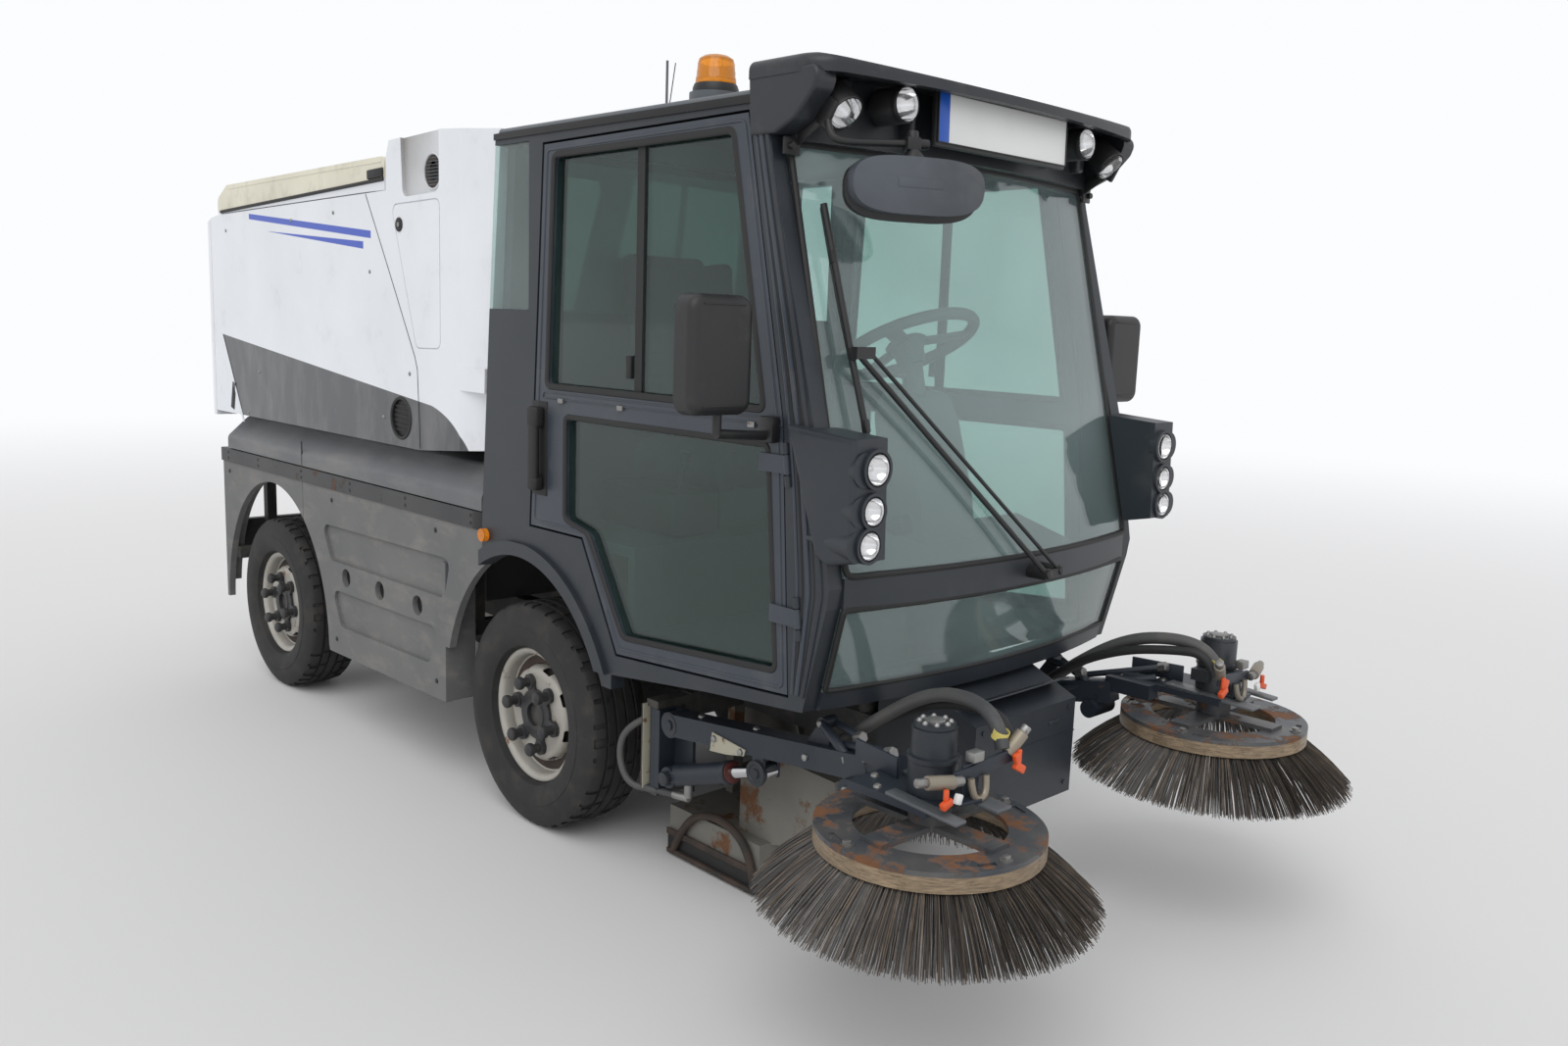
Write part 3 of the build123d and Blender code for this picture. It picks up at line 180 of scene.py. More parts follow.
# ---- finishes: dirt is colour, scale, from, to, most; rust is colour, scale, from; grain is depth, scale
looks = {
    "cabPaint": dict(base=(0.017, 0.022, 0.029), second=(0.024, 0.029, 0.036), rough=0.42,
                     dirt=((0.10, 0.097, 0.092), 4, 0.54, 0.9, 0.42), grain=(0.0004, 900)),
    "doorPaint": dict(base=(0.034, 0.043, 0.057), second=(0.043, 0.053, 0.067), rough=0.36,
                      dirt=((0.12, 0.12, 0.12), 9, 0.55, 0.75, 0.4), grain=(0.0002, 700)),
    # roofPaint: the roof's own grey, lightened and blued as a painted sky reflection along the roof side
    "roofPaint": dict(base=(0.090, 0.104, 0.118), second=(0.11, 0.122, 0.135), rough=0.4,
                      dirt=((0.16, 0.15, 0.14), 9, 0.5, 0.75, 0.6)),
    "visorPlastic": dict(base=(0.016, 0.019, 0.023), second=(0.022, 0.026, 0.030), rough=0.38,
                         dirt=((0.11, 0.11, 0.11), 9, 0.55, 0.75, 0.4), grain=(0.0003, 800)),
    "whiteShell": dict(base=(0.77, 0.79, 0.82), second=(0.72, 0.74, 0.77), rough=0.34,
                       dirt=((0.42, 0.40, 0.37), 6, 0.58, 0.85, 0.35), coat=0.2),
    "lidCream": dict(base=(0.74, 0.71, 0.58), second=(0.66, 0.62, 0.50), rough=0.45,
                     dirt=((0.30, 0.27, 0.21), 9, 0.5, 0.8, 0.5)),
    "tankPlastic": dict(base=(0.115, 0.120, 0.128), second=(0.16, 0.163, 0.168), rough=0.6, patches=2,
                        dirt=((0.26, 0.25, 0.235), 7, 0.48, 0.75, 0.65), stretch=(1, 0.35, 1.6), grain=(0.0004, 500)),
    "skirtPlastic": dict(base=(0.125, 0.127, 0.128), second=(0.17, 0.168, 0.162), rough=0.68, patches=2,
                         dirt=((0.27, 0.25, 0.22), 10, 0.5, 0.75, 0.6), stretch=(1, 0.6, 1.5), grain=(0.0005, 450)),
    "railSteel": dict(base=(0.030, 0.031, 0.033), second=(0.05, 0.05, 0.05), rough=0.5, rust=((0.20, 0.08, 0.03), 9, 0.62)),
    "rimPaint": dict(base=(0.44, 0.42, 0.38), second=(0.36, 0.34, 0.30), rough=0.5, metal=0.2, patches=8,
                     rust=((0.24, 0.11, 0.05), 16, 0.60)),
    "armPaint": dict(base=(0.016, 0.022, 0.032), second=(0.024, 0.031, 0.042), rough=0.45,
                     rust=((0.16, 0.09, 0.05), 18, 0.66)),
    "rodChrome": dict(base=(0.62, 0.62, 0.63), second=(0.5, 0.5, 0.51), rough=0.14, metal=1.0),
    "brushSteel": dict(base=(0.060, 0.068, 0.080), second=(0.135, 0.130, 0.125), rough=0.42, metal=0.35, patches=7,
                       rust=((0.22, 0.095, 0.04), 10, 0.52)),
    "brushSteelPlain": dict(base=(0.11, 0.12, 0.13), second=(0.17, 0.175, 0.18), rough=0.42, metal=0.35,
                            rust=((0.20, 0.09, 0.04), 12, 0.60)),
    "motorSteel": dict(base=(0.024, 0.029, 0.036), second=(0.055, 0.060, 0.066), rough=0.4, metal=0.3,
                       rust=((0.16, 0.08, 0.04), 25, 0.66)),
    "mouthSteel": dict(base=(0.20, 0.19, 0.165), second=(0.13, 0.125, 0.115), rough=0.7,
                       rust=((0.17, 0.08, 0.035), 7, 0.54)),
    "frameSteel": dict(base=(0.026, 0.027, 0.029), second=(0.05, 0.048, 0.045), rough=0.6,
                       dirt=((0.16, 0.145, 0.12), 9, 0.45, 0.75, 0.6)),
    "blackPlastic": dict(base=(0.012, 0.012, 0.013), second=(0.018, 0.018, 0.019), rough=0.42, grain=(0.0002, 900)),
    "mirrorShell": dict(base=(0.013, 0.013, 0.014), second=(0.02, 0.02, 0.021), rough=0.45,
                        dirt=((0.08, 0.08, 0.08), 9, 0.55, 0.75, 0.4), grain=(0.0004, 700)),
    # mirrorPale: the shell's own pale grey, lightened to carry a painted sheen
    "mirrorPale": dict(base=(0.075, 0.085, 0.102), second=(0.040, 0.042, 0.045), rough=0.34,
                       dirt=((0.12, 0.12, 0.12), 9, 0.5, 0.75, 0.5), grain=(0.0003, 700)),
    "innerPlastic": dict(base=(0.085, 0.090, 0.094), second=(0.105, 0.108, 0.11), rough=0.6, grain=(0.0004, 600)),
    "tyreRubber": dict(base=(0.014, 0.014, 0.015), second=(0.022, 0.021, 0.020), rough=0.72,
                       dirt=((0.085, 0.072, 0.058), 12, 0.5, 0.75, 0.38), grain=(0.0004, 500)),
    "seatFabric": dict(base=(0.045, 0.048, 0.052), second=(0.035, 0.037, 0.040), rough=0.9, grain=(0.0008, 900)),
    "bristle": dict(base=(0.085, 0.070, 0.056), second=(0.030, 0.027, 0.025), rough=0.7, patches=60,
                    dirt=((0.17, 0.15, 0.125), 120, 0.5, 0.75, 0.8)),
    "bristleDark": dict(base=(0.028, 0.026, 0.025), second=(0.05, 0.045, 0.04), rough=0.5, patches=40),
    "bristleGrey": dict(base=(0.125, 0.115, 0.105), second=(0.060, 0.053, 0.047), rough=0.5, patches=40),
    "bristleTan": dict(base=(0.155, 0.115, 0.080), second=(0.07, 0.055, 0.045), rough=0.6, patches=40),
    "engineIron": dict(base=(0.05, 0.05, 0.05), second=(0.07, 0.07, 0.07), rough=0.7),
    "rubber": dict(base=(0.010, 0.010, 0.011), second=(0.016, 0.016, 0.016), rough=0.6),
    "zincSteel": dict(base=(0.34, 0.34, 0.33), second=(0.22, 0.21, 0.20), rough=0.4, metal=0.8,
                      rust=((0.20, 0.10, 0.05), 40, 0.62)),
    "reflector": dict(base=(0.85, 0.85, 0.86), rough=0.12, metal=1.0),
    "mirrorGlass": dict(base=(0.75, 0.78, 0.80), rough=0.03, metal=1.0),
    "plateWhite": dict(base=(0.80, 0.80, 0.79), second=(0.74, 0.74, 0.73), rough=0.35),
    "plateBlue": dict(base=(0.012, 0.09, 0.46), rough=0.35),
    "latchCream": dict(base=(0.42, 0.40, 0.31), second=(0.34, 0.32, 0.25), rough=0.55, rust=((0.20, 0.10, 0.04), 22, 0.58)),
    "tapOrange": dict(base=(0.75, 0.10, 0.02), second=(0.62, 0.08, 0.02), rough=0.4),
    "tieYellow": dict(base=(0.70, 0.58, 0.16), rough=0.5),
    "valveBrass": dict(base=(0.30, 0.26, 0.20), second=(0.22, 0.20, 0.17), rough=0.45, metal=0.5),
    "hoseGrey": dict(base=(0.050, 0.052, 0.055), second=(0.09, 0.088, 0.085), rough=0.55,
                     dirt=((0.16, 0.15, 0.13), 9, 0.5, 0.75, 0.5)),
    "sealMaroon": dict(base=(0.09, 0.018, 0.016), rough=0.4),
    "hubBlack": dict(base=(0.020, 0.021, 0.023), second=(0.034, 0.034, 0.036), rough=0.5,
                     dirt=((0.11, 0.09, 0.07), 20, 0.52, 0.75, 0.5)),
    "skidRust": dict(base=(0.060, 0.040, 0.030), second=(0.028, 0.025, 0.023), rough=0.8, patches=14),
    "wheelGrey": dict(base=(0.150, 0.155, 0.160), second=(0.12, 0.125, 0.13), rough=0.55, grain=(0.0003, 700)),
}
rustTone = {"deep": (0.10, 0.045, 0.02), "scale": 60, "edge": 0.06, "rough": 0.9}
dirtRough = 0.85
# panes: the diffuse haze is dust together with a painted sky sheen; the screen adds a painted sky reflection
paneLooks = {
    "windowGlass": {"tint": (0.62, 0.76, 0.72), "haze": (0.12, 0.165, 0.158), "least": 0.04, "most": 0.14, "dustScale": 2.5,
                    "ior": 1.5},
    "cabGlass": {"tint": (0.78, 0.88, 0.86), "haze": (0.30, 0.38, 0.37), "least": 0.03, "most": 0.11, "dustScale": 2.5,
                 "ior": 1.8, "screenFrom": -1.2, "screenHaze": (0.60, 0.72, 0.73), "screenMore": 0.07},
}
glassLooks = {
    "lampGlass": {"tint": (0.97, 0.97, 0.97), "dust": 0.03, "clear": 1.0},
    "amberPlastic": {"tint": (1.0, 0.36, 0.02), "dust": 0.2, "clear": 0.55},
}


def surface(name, base, rough, second=None, patches=3, metal=0, dirt=None, stretch=None, rust=None, grain=None, coat=0):
    material, tree, shader, where = graphOf(name)
    spread = rangeOf(tree, noiseAt(tree, where, patches, 4), 0.35, 0.7)
    colour = colourMix(tree, spread, base, second or base)
    roughness = rough
    if dirt:
        dirtColour, scale, low, high, most = dirt
        amount = rangeOf(tree, noiseAt(tree, where, scale, 8, 0.65, stretch), low, high, 0, most)
        colour = colourMix(tree, amount, colour, dirtColour)
        roughness = rangeOf(tree, amount, 0, 1, rough, dirtRough)
    if rust:
        rustColour, scale, low = rust
        amount = rangeOf(tree, noiseAt(tree, where, scale, 10, 0.7), low, low + rustTone["edge"])
        tone = colourMix(tree, noiseAt(tree, where, rustTone["scale"], 4), rustColour, rustTone["deep"])
        colour = colourMix(tree, amount, colour, tone)
        roughness = rangeOf(tree, amount, 0, 0.01, rough, rustTone["rough"])
        metal = rangeOf(tree, amount, 0, 1, metal, 0)
    feed(tree, shader.inputs["Metallic"], metal)
    feed(tree, shader.inputs["Base Color"], colour)
    feed(tree, shader.inputs["Roughness"], roughness)
    if coat:
        shader.inputs["Coat Weight"].default_value = coat
        shader.inputs["Coat Roughness"].default_value = 0.15
    if grain:
        depth, scale = grain
        bump = newNode(tree, "Bump", {"Distance": depth, "Strength": 0.6, "Height": noiseAt(tree, where, scale, 3, 0.6)})
        feed(tree, shader.inputs["Normal"], bump.outputs["Normal"])
    return material


def paneGlass(name, look):
    material, tree, shader, where = graphOf(name)
    tree.nodes.remove(shader)
    amount = rangeOf(tree, noiseAt(tree, where, look["dustScale"], 2, 0.4), 0.35, 0.8, look["least"], look["most"])
    haze = look["haze"]
    if "screenFrom" in look:            # painted reflection: the screen gets a paler diffuse layer for the sky it mirrors, so it looks paler than the side panes
        onScreen = rangeOf(tree, axisOf(tree, where, "Y"), look["screenFrom"] - 0.01, look["screenFrom"], 1, 0)
        amount = maths(tree, "ADD", amount, maths(tree, "MULTIPLY", onScreen, look["screenMore"]))
        haze = colourMix(tree, onScreen, haze, look["screenHaze"])
    through = newNode(tree, "BsdfTransparent", {"Color": look["tint"]}).outputs[0]
    dull = shaderMix(tree, amount, through, newNode(tree, "BsdfDiffuse", {"Color": haze}).outputs[0])
    back = newNode(tree, "NewGeometry").outputs["Backfacing"]     # a ray that leaves the pane bends back the same way
    edge = newNode(tree, "Fresnel", {"IOR": rangeOf(tree, back, 0, 1, look["ior"], 1 / look["ior"])}).outputs[0]
    shine = newNode(tree, "BsdfGlossy", {"Roughness": 0.02}).outputs[0]
    feed(tree, tree.nodes["Material Output"].inputs["Surface"], shaderMix(tree, edge, dull, shine))
    return material


def clearGlass(name, look):
    material, tree, shader, where = graphOf(name)
    feed(tree, shader.inputs["Base Color"], look["tint"])
    shader.inputs["Transmission Weight"].default_value = look["clear"]
    shader.inputs["IOR"].default_value = 1.45
    feed(tree, shader.inputs["Roughness"], rangeOf(tree, noiseAt(tree, where, 5, 6, 0.6), 0.4, 0.8, 0.0, look["dust"]))
    return material


finishes = {name: surface(name, **look) for name, look in looks.items()}
finishes.update({name: clearGlass(name, look) for name, look in glassLooks.items()})
finishes.update({name: paneGlass(name, look) for name, look in paneLooks.items()})

# ---- stripes and places of another colour
stripe = {"half": 0.6, "top": ((0.43, 1.279), (2.07, 1.439)), "rear": ((1.863, 1.088), (2.07, 1.439)),
          "bowCentre": (0.43, 1.085), "bowSize": (0.36, 0.195), "colour": (0.052, 0.055, 0.060), "worn": (0.13, 0.13, 0.13)}
blueLines = {"half": 0.6, "colour": (0.025, 0.075, 0.48),              # reach along y, upper edge, lower edge
             "rows": (((0.704, 1.755), ((0.704, 1.826), (1.755, 1.919)), ((0.704, 1.801), (1.756, 1.898))),
                      ((0.761, 1.565), ((0.761, 1.792), (1.565, 1.846)), ((0.761, 1.767), (1.565, 1.845))))}
# painted shade for the hollow round the cowl intake: its box, shade colour and grading along y and z
recess = {"x": (0.6135, 0.6285), "y": (0.239, 0.492), "z": (1.926, 2.142), "shade": (0.30, 0.29, 0.275),
          "alongY": (0.25, 0.47, 0.30), "alongZ": (1.93, 2.14, 0.55)}
wood = {"top": (0.5238, 0.5243), "pale": (0.36, 0.27, 0.175), "dark": (0.13, 0.095, 0.065), "stretch": (1, 1, 9)}
gasketLine = {"half": 0.6, "line": ((0.600, 1.992), (2.050, 1.938)), "colour": (0.72, 0.74, 0.77)}
lineEdge = 0.0008


def between(tree, value, low, high):
    above = rangeOf(tree, value, low - lineEdge, low + lineEdge)
    below = rangeOf(tree, value, high - lineEdge, high + lineEdge, 1, 0)
    return maths(tree, "MULTIPLY", above, below)


def overLine(tree, across, up, start, end):     # how far a point of (y, z) lies above the line from start to end
    slope = (end[1] - start[1]) / (end[0] - start[0])
    rise = maths(tree, "MULTIPLY", maths(tree, "SUBTRACT", across, start[0]), slope)
    return maths(tree, "SUBTRACT", maths(tree, "SUBTRACT", up, start[1]), rise)


def sideOnly(tree, x, half):
    return rangeOf(tree, maths(tree, "ABSOLUTE", x, 0), half, half + 0.002)


def stripeMask(tree, x, y, z):
    s = stripe
    under = rangeOf(tree, overLine(tree, y, z, *s["top"]), -lineEdge, lineEdge, 1, 0)
    ahead = rangeOf(tree, overLine(tree, y, z, *s["rear"]), -0.001, 0.001)
    across, up = (maths(tree, "DIVIDE", maths(tree, "SUBTRACT", value, s["bowCentre"][k]), s["bowSize"][k])
                  for k, value in enumerate((y, z)))
    rounding = maths(tree, "POWER", maths(tree, "MINIMUM", across, 0), 2)
    inBow = rangeOf(tree, maths(tree, "ADD", rounding, maths(tree, "POWER", up, 2)), 0.99, 1.01, 1, 0)
    behind = rangeOf(tree, y, s["bowCentre"][0] - 0.0005, s["bowCentre"][0] + 0.0005)
    return allOf(tree, [sideOnly(tree, x, s["half"]), under, ahead, maths(tree, "MAXIMUM", inBow, behind)])


def blueMask(tree, x, y, z):
    bands = []
    for reach, top, low in blueLines["rows"]:
        below = rangeOf(tree, overLine(tree, y, z, *top), -lineEdge, lineEdge, 1, 0)
        above = rangeOf(tree, overLine(tree, y, z, *low), -lineEdge, lineEdge)
        bands.append(allOf(tree, [between(tree, y, *reach), below, above]))
    return maths(tree, "MULTIPLY", sideOnly(tree, x, blueLines["half"]), maths(tree, "MAXIMUM", *bands))


def wornGrey(tree, where):
    streaks = noiseAt(tree, where, 9, 8, 0.65, (1, 1, 0.35))
    return colourMix(tree, rangeOf(tree, streaks, 0.45, 0.75), stripe["colour"], stripe["worn"])


def paintedRecessShadeMask(tree, x, y, z):          # painted shade: the intake's hollow is painted darker towards the front and the bottom
    r = recess
    deep = between(tree, maths(tree, "ABSOLUTE", x, 0), *r["x"])
    shades = [rangeOf(tree, value, low, high, least, 1.0) for value, (low, high, least) in ((y, r["alongY"]), (z, r["alongZ"]))]
    return allOf(tree, [deep, between(tree, y, *r["y"]), between(tree, z, *r["z"])] + shades)


def woodMask(tree, x, y, z):
    return rangeOf(tree, z, *wood["top"], 1, 0)


def woodColour(tree, where):
    grain = noiseAt(tree, where, 30, 8, 0.7, wood["stretch"])
    return colourMix(tree, rangeOf(tree, grain, 0.35, 0.7), wood["pale"], wood["dark"])


def gasketMask(tree, x, y, z):
    over = overLine(tree, y, z, *gasketLine["line"])
    return allOf(tree, [sideOnly(tree, x, gasketLine["half"]), rangeOf(tree, over, -0.001, 0.001, 1, 0)])


def overpaint(finish, colour, mask):            # mask(tree, x, y, z) says where the colour goes
    tree = finishes[finish].node_tree
    base = tree.nodes["Principled BSDF"].inputs["Base Color"]
    where = next(node for node in tree.nodes if node.bl_idname == "ShaderNodeTexCoord").outputs["Object"]
    old = base.links[0].from_socket
    amount = mask(tree, *(axisOf(tree, where, axis) for axis in "XYZ"))
    feed(tree, base, colourMix(tree, amount, old, colour if isinstance(colour, tuple) else colour(tree, where)))


overpaint("whiteShell", wornGrey, stripeMask)
overpaint("whiteShell", blueLines["colour"], blueMask)
# painted shade in the hollow round the cowl intake
overpaint("whiteShell", recess["shade"], paintedRecessShadeMask)
overpaint("brushSteel", woodColour, woodMask)
overpaint("lidCream", gasketLine["colour"], gasketMask)


def finishOf(slot):                             # cab_paint wears cabPaint, apart from these
    others = {"lamp": "lampGlass", "signal_lamp": "amberPlastic", "beacon_amber": "amberPlastic", "engine_block": "engineIron"}
    first, *rest = slot.split("_")
    return others.get(slot, first + "".join(word.capitalize() for word in rest))


for part in frame["record"]["subparts"]:
    node = nodes[part["node"]]
    node.data.materials.clear()
    node.data.materials.append(finishes[finishOf(part["material_slot"])])
nodes["cab_windows"].data.materials[0] = finishes["cabGlass"]
print("stage: finishes on the frame")


# ---- shaping helpers
def fresh():
    if bpy.context.object and bpy.context.object.mode != "OBJECT":
        bpy.ops.object.mode_set(mode="OBJECT")
    bpy.ops.object.select_all(action="DESELECT")


def onlyThis(piece):
    fresh()
    piece.select_set(True)
    bpy.context.view_layer.objects.active = piece


def settle(piece):                      # its place, turn and size go into the mesh
    onlyThis(piece)
    bpy.ops.object.transform_apply(location=True, rotation=True, scale=True)
    return piece


def edit(piece, chosen=None):           # edit mode with the faces chosen by a test of (centre, normal)
    onlyThis(piece)
    bpy.ops.object.mode_set(mode="EDIT")
    bpy.ops.mesh.select_mode(type="FACE")
    bpy.ops.mesh.select_all(action="DESELECT")
    if chosen is None:
        bpy.ops.mesh.select_all(action="SELECT")
        return
    bpy.ops.object.mode_set(mode="OBJECT")
    for face in piece.data.polygons:
        face.select = bool(chosen(face.center, face.normal))
    bpy.ops.object.mode_set(mode="EDIT")


def objectMode():
    bpy.ops.object.mode_set(mode="OBJECT")


def applyAll(piece):
    onlyThis(piece)
    for modifier in list(piece.modifiers):
        bpy.ops.object.modifier_apply(modifier=modifier.name)


def modified(piece, kind, **settings):
    modifier = piece.modifiers.new("shaping", kind)
    for key, value in settings.items():
        setattr(modifier, key, value)
    applyAll(piece)
    return piece


def roundEdges(piece, width, segments=2, angle=35):
    return modified(piece, "BEVEL", width=width, segments=segments, limit_method="ANGLE", angle_limit=radians(angle))


def smooth(piece, angle=35):
    onlyThis(piece)
    bpy.ops.object.shade_smooth_by_angle(angle=radians(angle))
    return piece


def placed(piece, place, angle=0, axis="X"):    # turned about the origin, then moved
    piece.data.transform(Matrix.Translation(place) @ Matrix.Rotation(radians(angle), 4, axis))
    return piece


def turned(name, rings, segments=48, closed=False, capped=True):     # rings of (height, radius) about the z axis
    fresh()
    height, radius = rings[0]
    bpy.ops.mesh.primitive_circle_add(vertices=segments, radius=radius, location=(0, 0, height))
    piece = settle(bpy.context.object)
    piece.name = name
    bpy.ops.object.mode_set(mode="EDIT")
    bpy.ops.mesh.select_mode(type="EDGE")
    bpy.ops.mesh.select_all(action="SELECT")
    solid = capped and not closed
    if solid:
        bpy.ops.mesh.edge_face_add()
        bpy.ops.mesh.select_all(action="SELECT")
    extrude = bpy.ops.mesh.extrude_region_move if solid else bpy.ops.mesh.extrude_edges_move
    for nextHeight, nextRadius in rings[1:]:
        extrude(TRANSFORM_OT_translate={"value": (0, 0, nextHeight - height)})
        grow = nextRadius / radius
        bpy.ops.transform.resize(value=(grow, grow, 1), center_override=(0, 0, nextHeight))
        height, radius = nextHeight, nextRadius
    if closed:
        bpy.ops.mesh.select_all(action="DESELECT")
        bpy.ops.mesh.select_non_manifold()
        bpy.ops.mesh.bridge_edge_loops()
    bpy.ops.mesh.select_all(action="SELECT")
    bpy.ops.mesh.normals_make_consistent(inside=False)
    objectMode()
    return piece


def block(name, size, place, turn=(0, 0, 0), edge=0.0, segments=2):
    fresh()
    bpy.ops.mesh.primitive_cube_add(size=1, location=place, rotation=[radians(a) for a in turn])
    piece = bpy.context.object
    piece.name = name
    piece.scale = size
    settle(piece)
    return roundEdges(piece, edge, segments) if edge else piece


def rod(name, start, end, radius, segments=20, edge=0.0):
    fresh()
    start, end = Vector(start), Vector(end)
    along = end - start
    bpy.ops.mesh.primitive_cylinder_add(vertices=segments, radius=radius, depth=along.length, location=(start + end) / 2)
    piece = bpy.context.object
    piece.name = name
    piece.rotation_mode = "QUATERNION"
    piece.rotation_quaternion = Vector((0, 0, 1)).rotation_difference(along)
    settle(piece)
    return roundEdges(piece, edge) if edge else piece


def pin(name, place, length, radius, segments=20, edge=0.0, axis=0):     # a rod that runs outwards along one axis
    end = list(place)
    end[axis] += length
    return rod(name, place, end, radius, segments, edge)


def meshOf(name, curve):
    onlyThis(link(bpy.data.objects.new(name, curve)))
    bpy.ops.object.convert(target="MESH")
    bpy.context.object.name = name
    return bpy.context.object


def link(piece):
    scene.collection.objects.link(piece)
    return piece


def hose(name, points, radius, resolution=3, order=3, closed=False):
    curve = bpy.data.curves.new(name, "CURVE")
    curve.dimensions = "3D"
    line = curve.splines.new("NURBS")
    line.points.add(len(points) - 1)
    for spot, place in zip(line.points, points):
        spot.co = (*place, 1)
    line.order_u = order
    line.use_endpoint_u = not closed
    line.use_cyclic_u = closed
    line.resolution_u = 6
    curve.bevel_depth = radius
    curve.bevel_resolution = resolution
    curve.use_fill_caps = True
    return meshOf(name, curve)


def aroundCorners(points, reach):                # control points that keep a closed outline's sides straight
    path = []
    for index, corner in enumerate(points):
        corner = Vector(corner)
        before, after = Vector(points[index - 1]), Vector(points[(index + 1) % len(points)])
        path += [corner + (before - corner).normalized() * reach, corner, corner + (after - corner).normalized() * reach]
    return path


def seal(name, points, radius, x, reach=0.04, flat=0.5):
    piece = hose(name, aroundCorners([(x, y, z) for y, z in points], reach), radius, 2, 3, True)
    piece.data.transform(Matrix.Translation((x, 0, 0)) @ Matrix.Scale(flat, 4, (1, 0, 0)) @ Matrix.Translation((-x, 0, 0)))
    return piece


def sheet(name, points, x, thick, edge=0.0):     # a flat plate with an outline of (y, z) points
    curve = bpy.data.curves.new(name, "CURVE")
    curve.dimensions = "2D"
    curve.fill_mode = "BOTH"
    line = curve.splines.new("POLY")
    line.points.add(len(points) - 1)
    for spot, (y, z) in zip(line.points, points):
        spot.co = (y, z, 0, 1)
    line.use_cyclic_u = True
    curve.extrude = thick / 2
    piece = meshOf(name, curve)
    edit(piece)
    bpy.ops.mesh.remove_doubles(threshold=0.00001)
    bpy.ops.mesh.normals_make_consistent(inside=False)
    objectMode()
    piece.data.transform(Matrix(((0, 0, 1, x), (1, 0, 0, 0), (0, 1, 0, 0), (0, 0, 0, 1))))
    return roundEdges(piece, edge) if edge else piece


def dome(name, place, outward=(1, 0, 0), radius=0.007, height=0.004):
    piece = turned(name, [(0, radius), (height * 0.6, radius * 0.85), (height, radius * 0.35)], 14)
    turn = Vector((0, 0, 1)).rotation_difference(Vector(outward)).to_matrix().to_4x4()
    piece.data.transform(Matrix.Translation(place) @ turn)
    return piece


def copyOf(piece, move=None, name=None):
    twin = piece.copy()
    twin.data = piece.data.copy()
    link(twin)
    if move is not None:
        twin.data.transform(move)
    if name:
        twin.name = name
    return twin


def joined(name, pieces):
    fresh()
    for piece in pieces:
        piece.select_set(True)
    bpy.context.view_layer.objects.active = pieces[0]
    if len(pieces) > 1:
        bpy.ops.object.join()
    whole = bpy.context.object
    whole.name = name
    return whole


def mirrored(piece, name):
    twin = copyOf(piece, Matrix.Scale(-1, 4, (1, 0, 0)), name)
    twin.data.flip_normals()
    return twin


def paintWith(piece, finish):
    piece.data.materials.clear()
    piece.data.materials.append(finishes[finish])
    return piece


def made(finish, *pieces):              # all these pieces wear one finish
    return [paintWith(piece, finish) for piece in pieces]


def fit(piece, body, finish=None, angle=35):
    smooth(piece, angle)
    if finish:
        paintWith(piece, finish)
    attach(piece, body)
    return piece


def bothSides(name, pieces, bodyFormat="chassis", replaced=None):    # the left-hand piece rides, and its mirror image
    whole = joined(name + "_left", pieces)
    twin = mirrored(whole, name + "_right")
    for item, side in ((whole, "left"), (twin, "right")):
        fit(item, bodyFormat.format(side=side))
        if replaced:
            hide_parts(replaced.format(side=side))


# ---- tyres
tyre = {"rim": 0.190, "bead": 0.0705, "top": 0.350, "segments": 150, "grooves": (-0.052, -0.018, 0.018, 0.052),
        "grooveDepth": 0.008, "x": 0.4825, "z": 0.350, "axles": (("front", -0.200), ("rear", 1.700)),
        "cuts": (((0.058, 0.097), 4, 0, 0.338, -0.006), ((0.024, 0.046), 5, 2, 0.3495, -0.004))}


def treadProfile(t):
    low = t["top"] - t["grooveDepth"]
    wall = [(-t["bead"], t["rim"]), (-t["bead"] - 0.004, 0.209), (-0.098, 0.216), (-0.109, 0.235), (-0.1125, 0.262),
            (-0.1125, 0.276), (-0.1105, 0.278), (-0.1105, 0.292), (-0.107, 0.308), (-0.1005, 0.328), (-0.094, 0.340),
            (-0.086, 0.3465)]
    rings = list(wall)
    for centre in t["grooves"]:
        rings += [(centre - 0.0055, t["top"]), (centre - 0.0035, low), (centre + 0.0035, low), (centre + 0.0055, t["top"])]
    return rings + [(-height, radius) for height, radius in reversed(wall)]


def makeTyre(t):
    piece = turned("tyreShape", treadProfile(t), t["segments"], closed=True)
    for (inner, outer), every, offset, least, lift in t["cuts"]:

        def inPattern(centre, normal):
            index = int((atan2(centre.y, centre.x) % (2 * pi)) / (2 * pi / t["segments"]))
            return hypot(centre.x, centre.y) > least and inner < abs(centre.z) < outer and (index + offset) % every == 0

        edit(piece, inPattern)
        bpy.ops.mesh.extrude_region_shrink_fatten(TRANSFORM_OT_shrink_fatten={"value": lift})
    objectMode()
    return placed(piece, (0, 0, 0), 90, "Y")


tyreShape = makeTyre(tyre)
for end, axleY in tyre["axles"]:
    for side, sign in (("left", 1), ("right", -1)):
        place = Matrix.Translation((sign * tyre["x"], axleY, tyre["z"]))
        piece = copyOf(tyreShape, place, f"{end}_{side}_tyre_tread")
        fit(piece, f"{end}_{side}_wheel", "tyreRubber")
        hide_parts(f"{end}_{side}_tyre")
bpy.data.objects.remove(tyreShape)
print("stage: tyres")

# ---- cowl intake
intake = {"centre": (-0.6155, 0.299, 1.998), "rim": 0.0575, "mouth": 0.0510, "bars": 9, "barX": 0.0018, "barRadius": 0.0010}


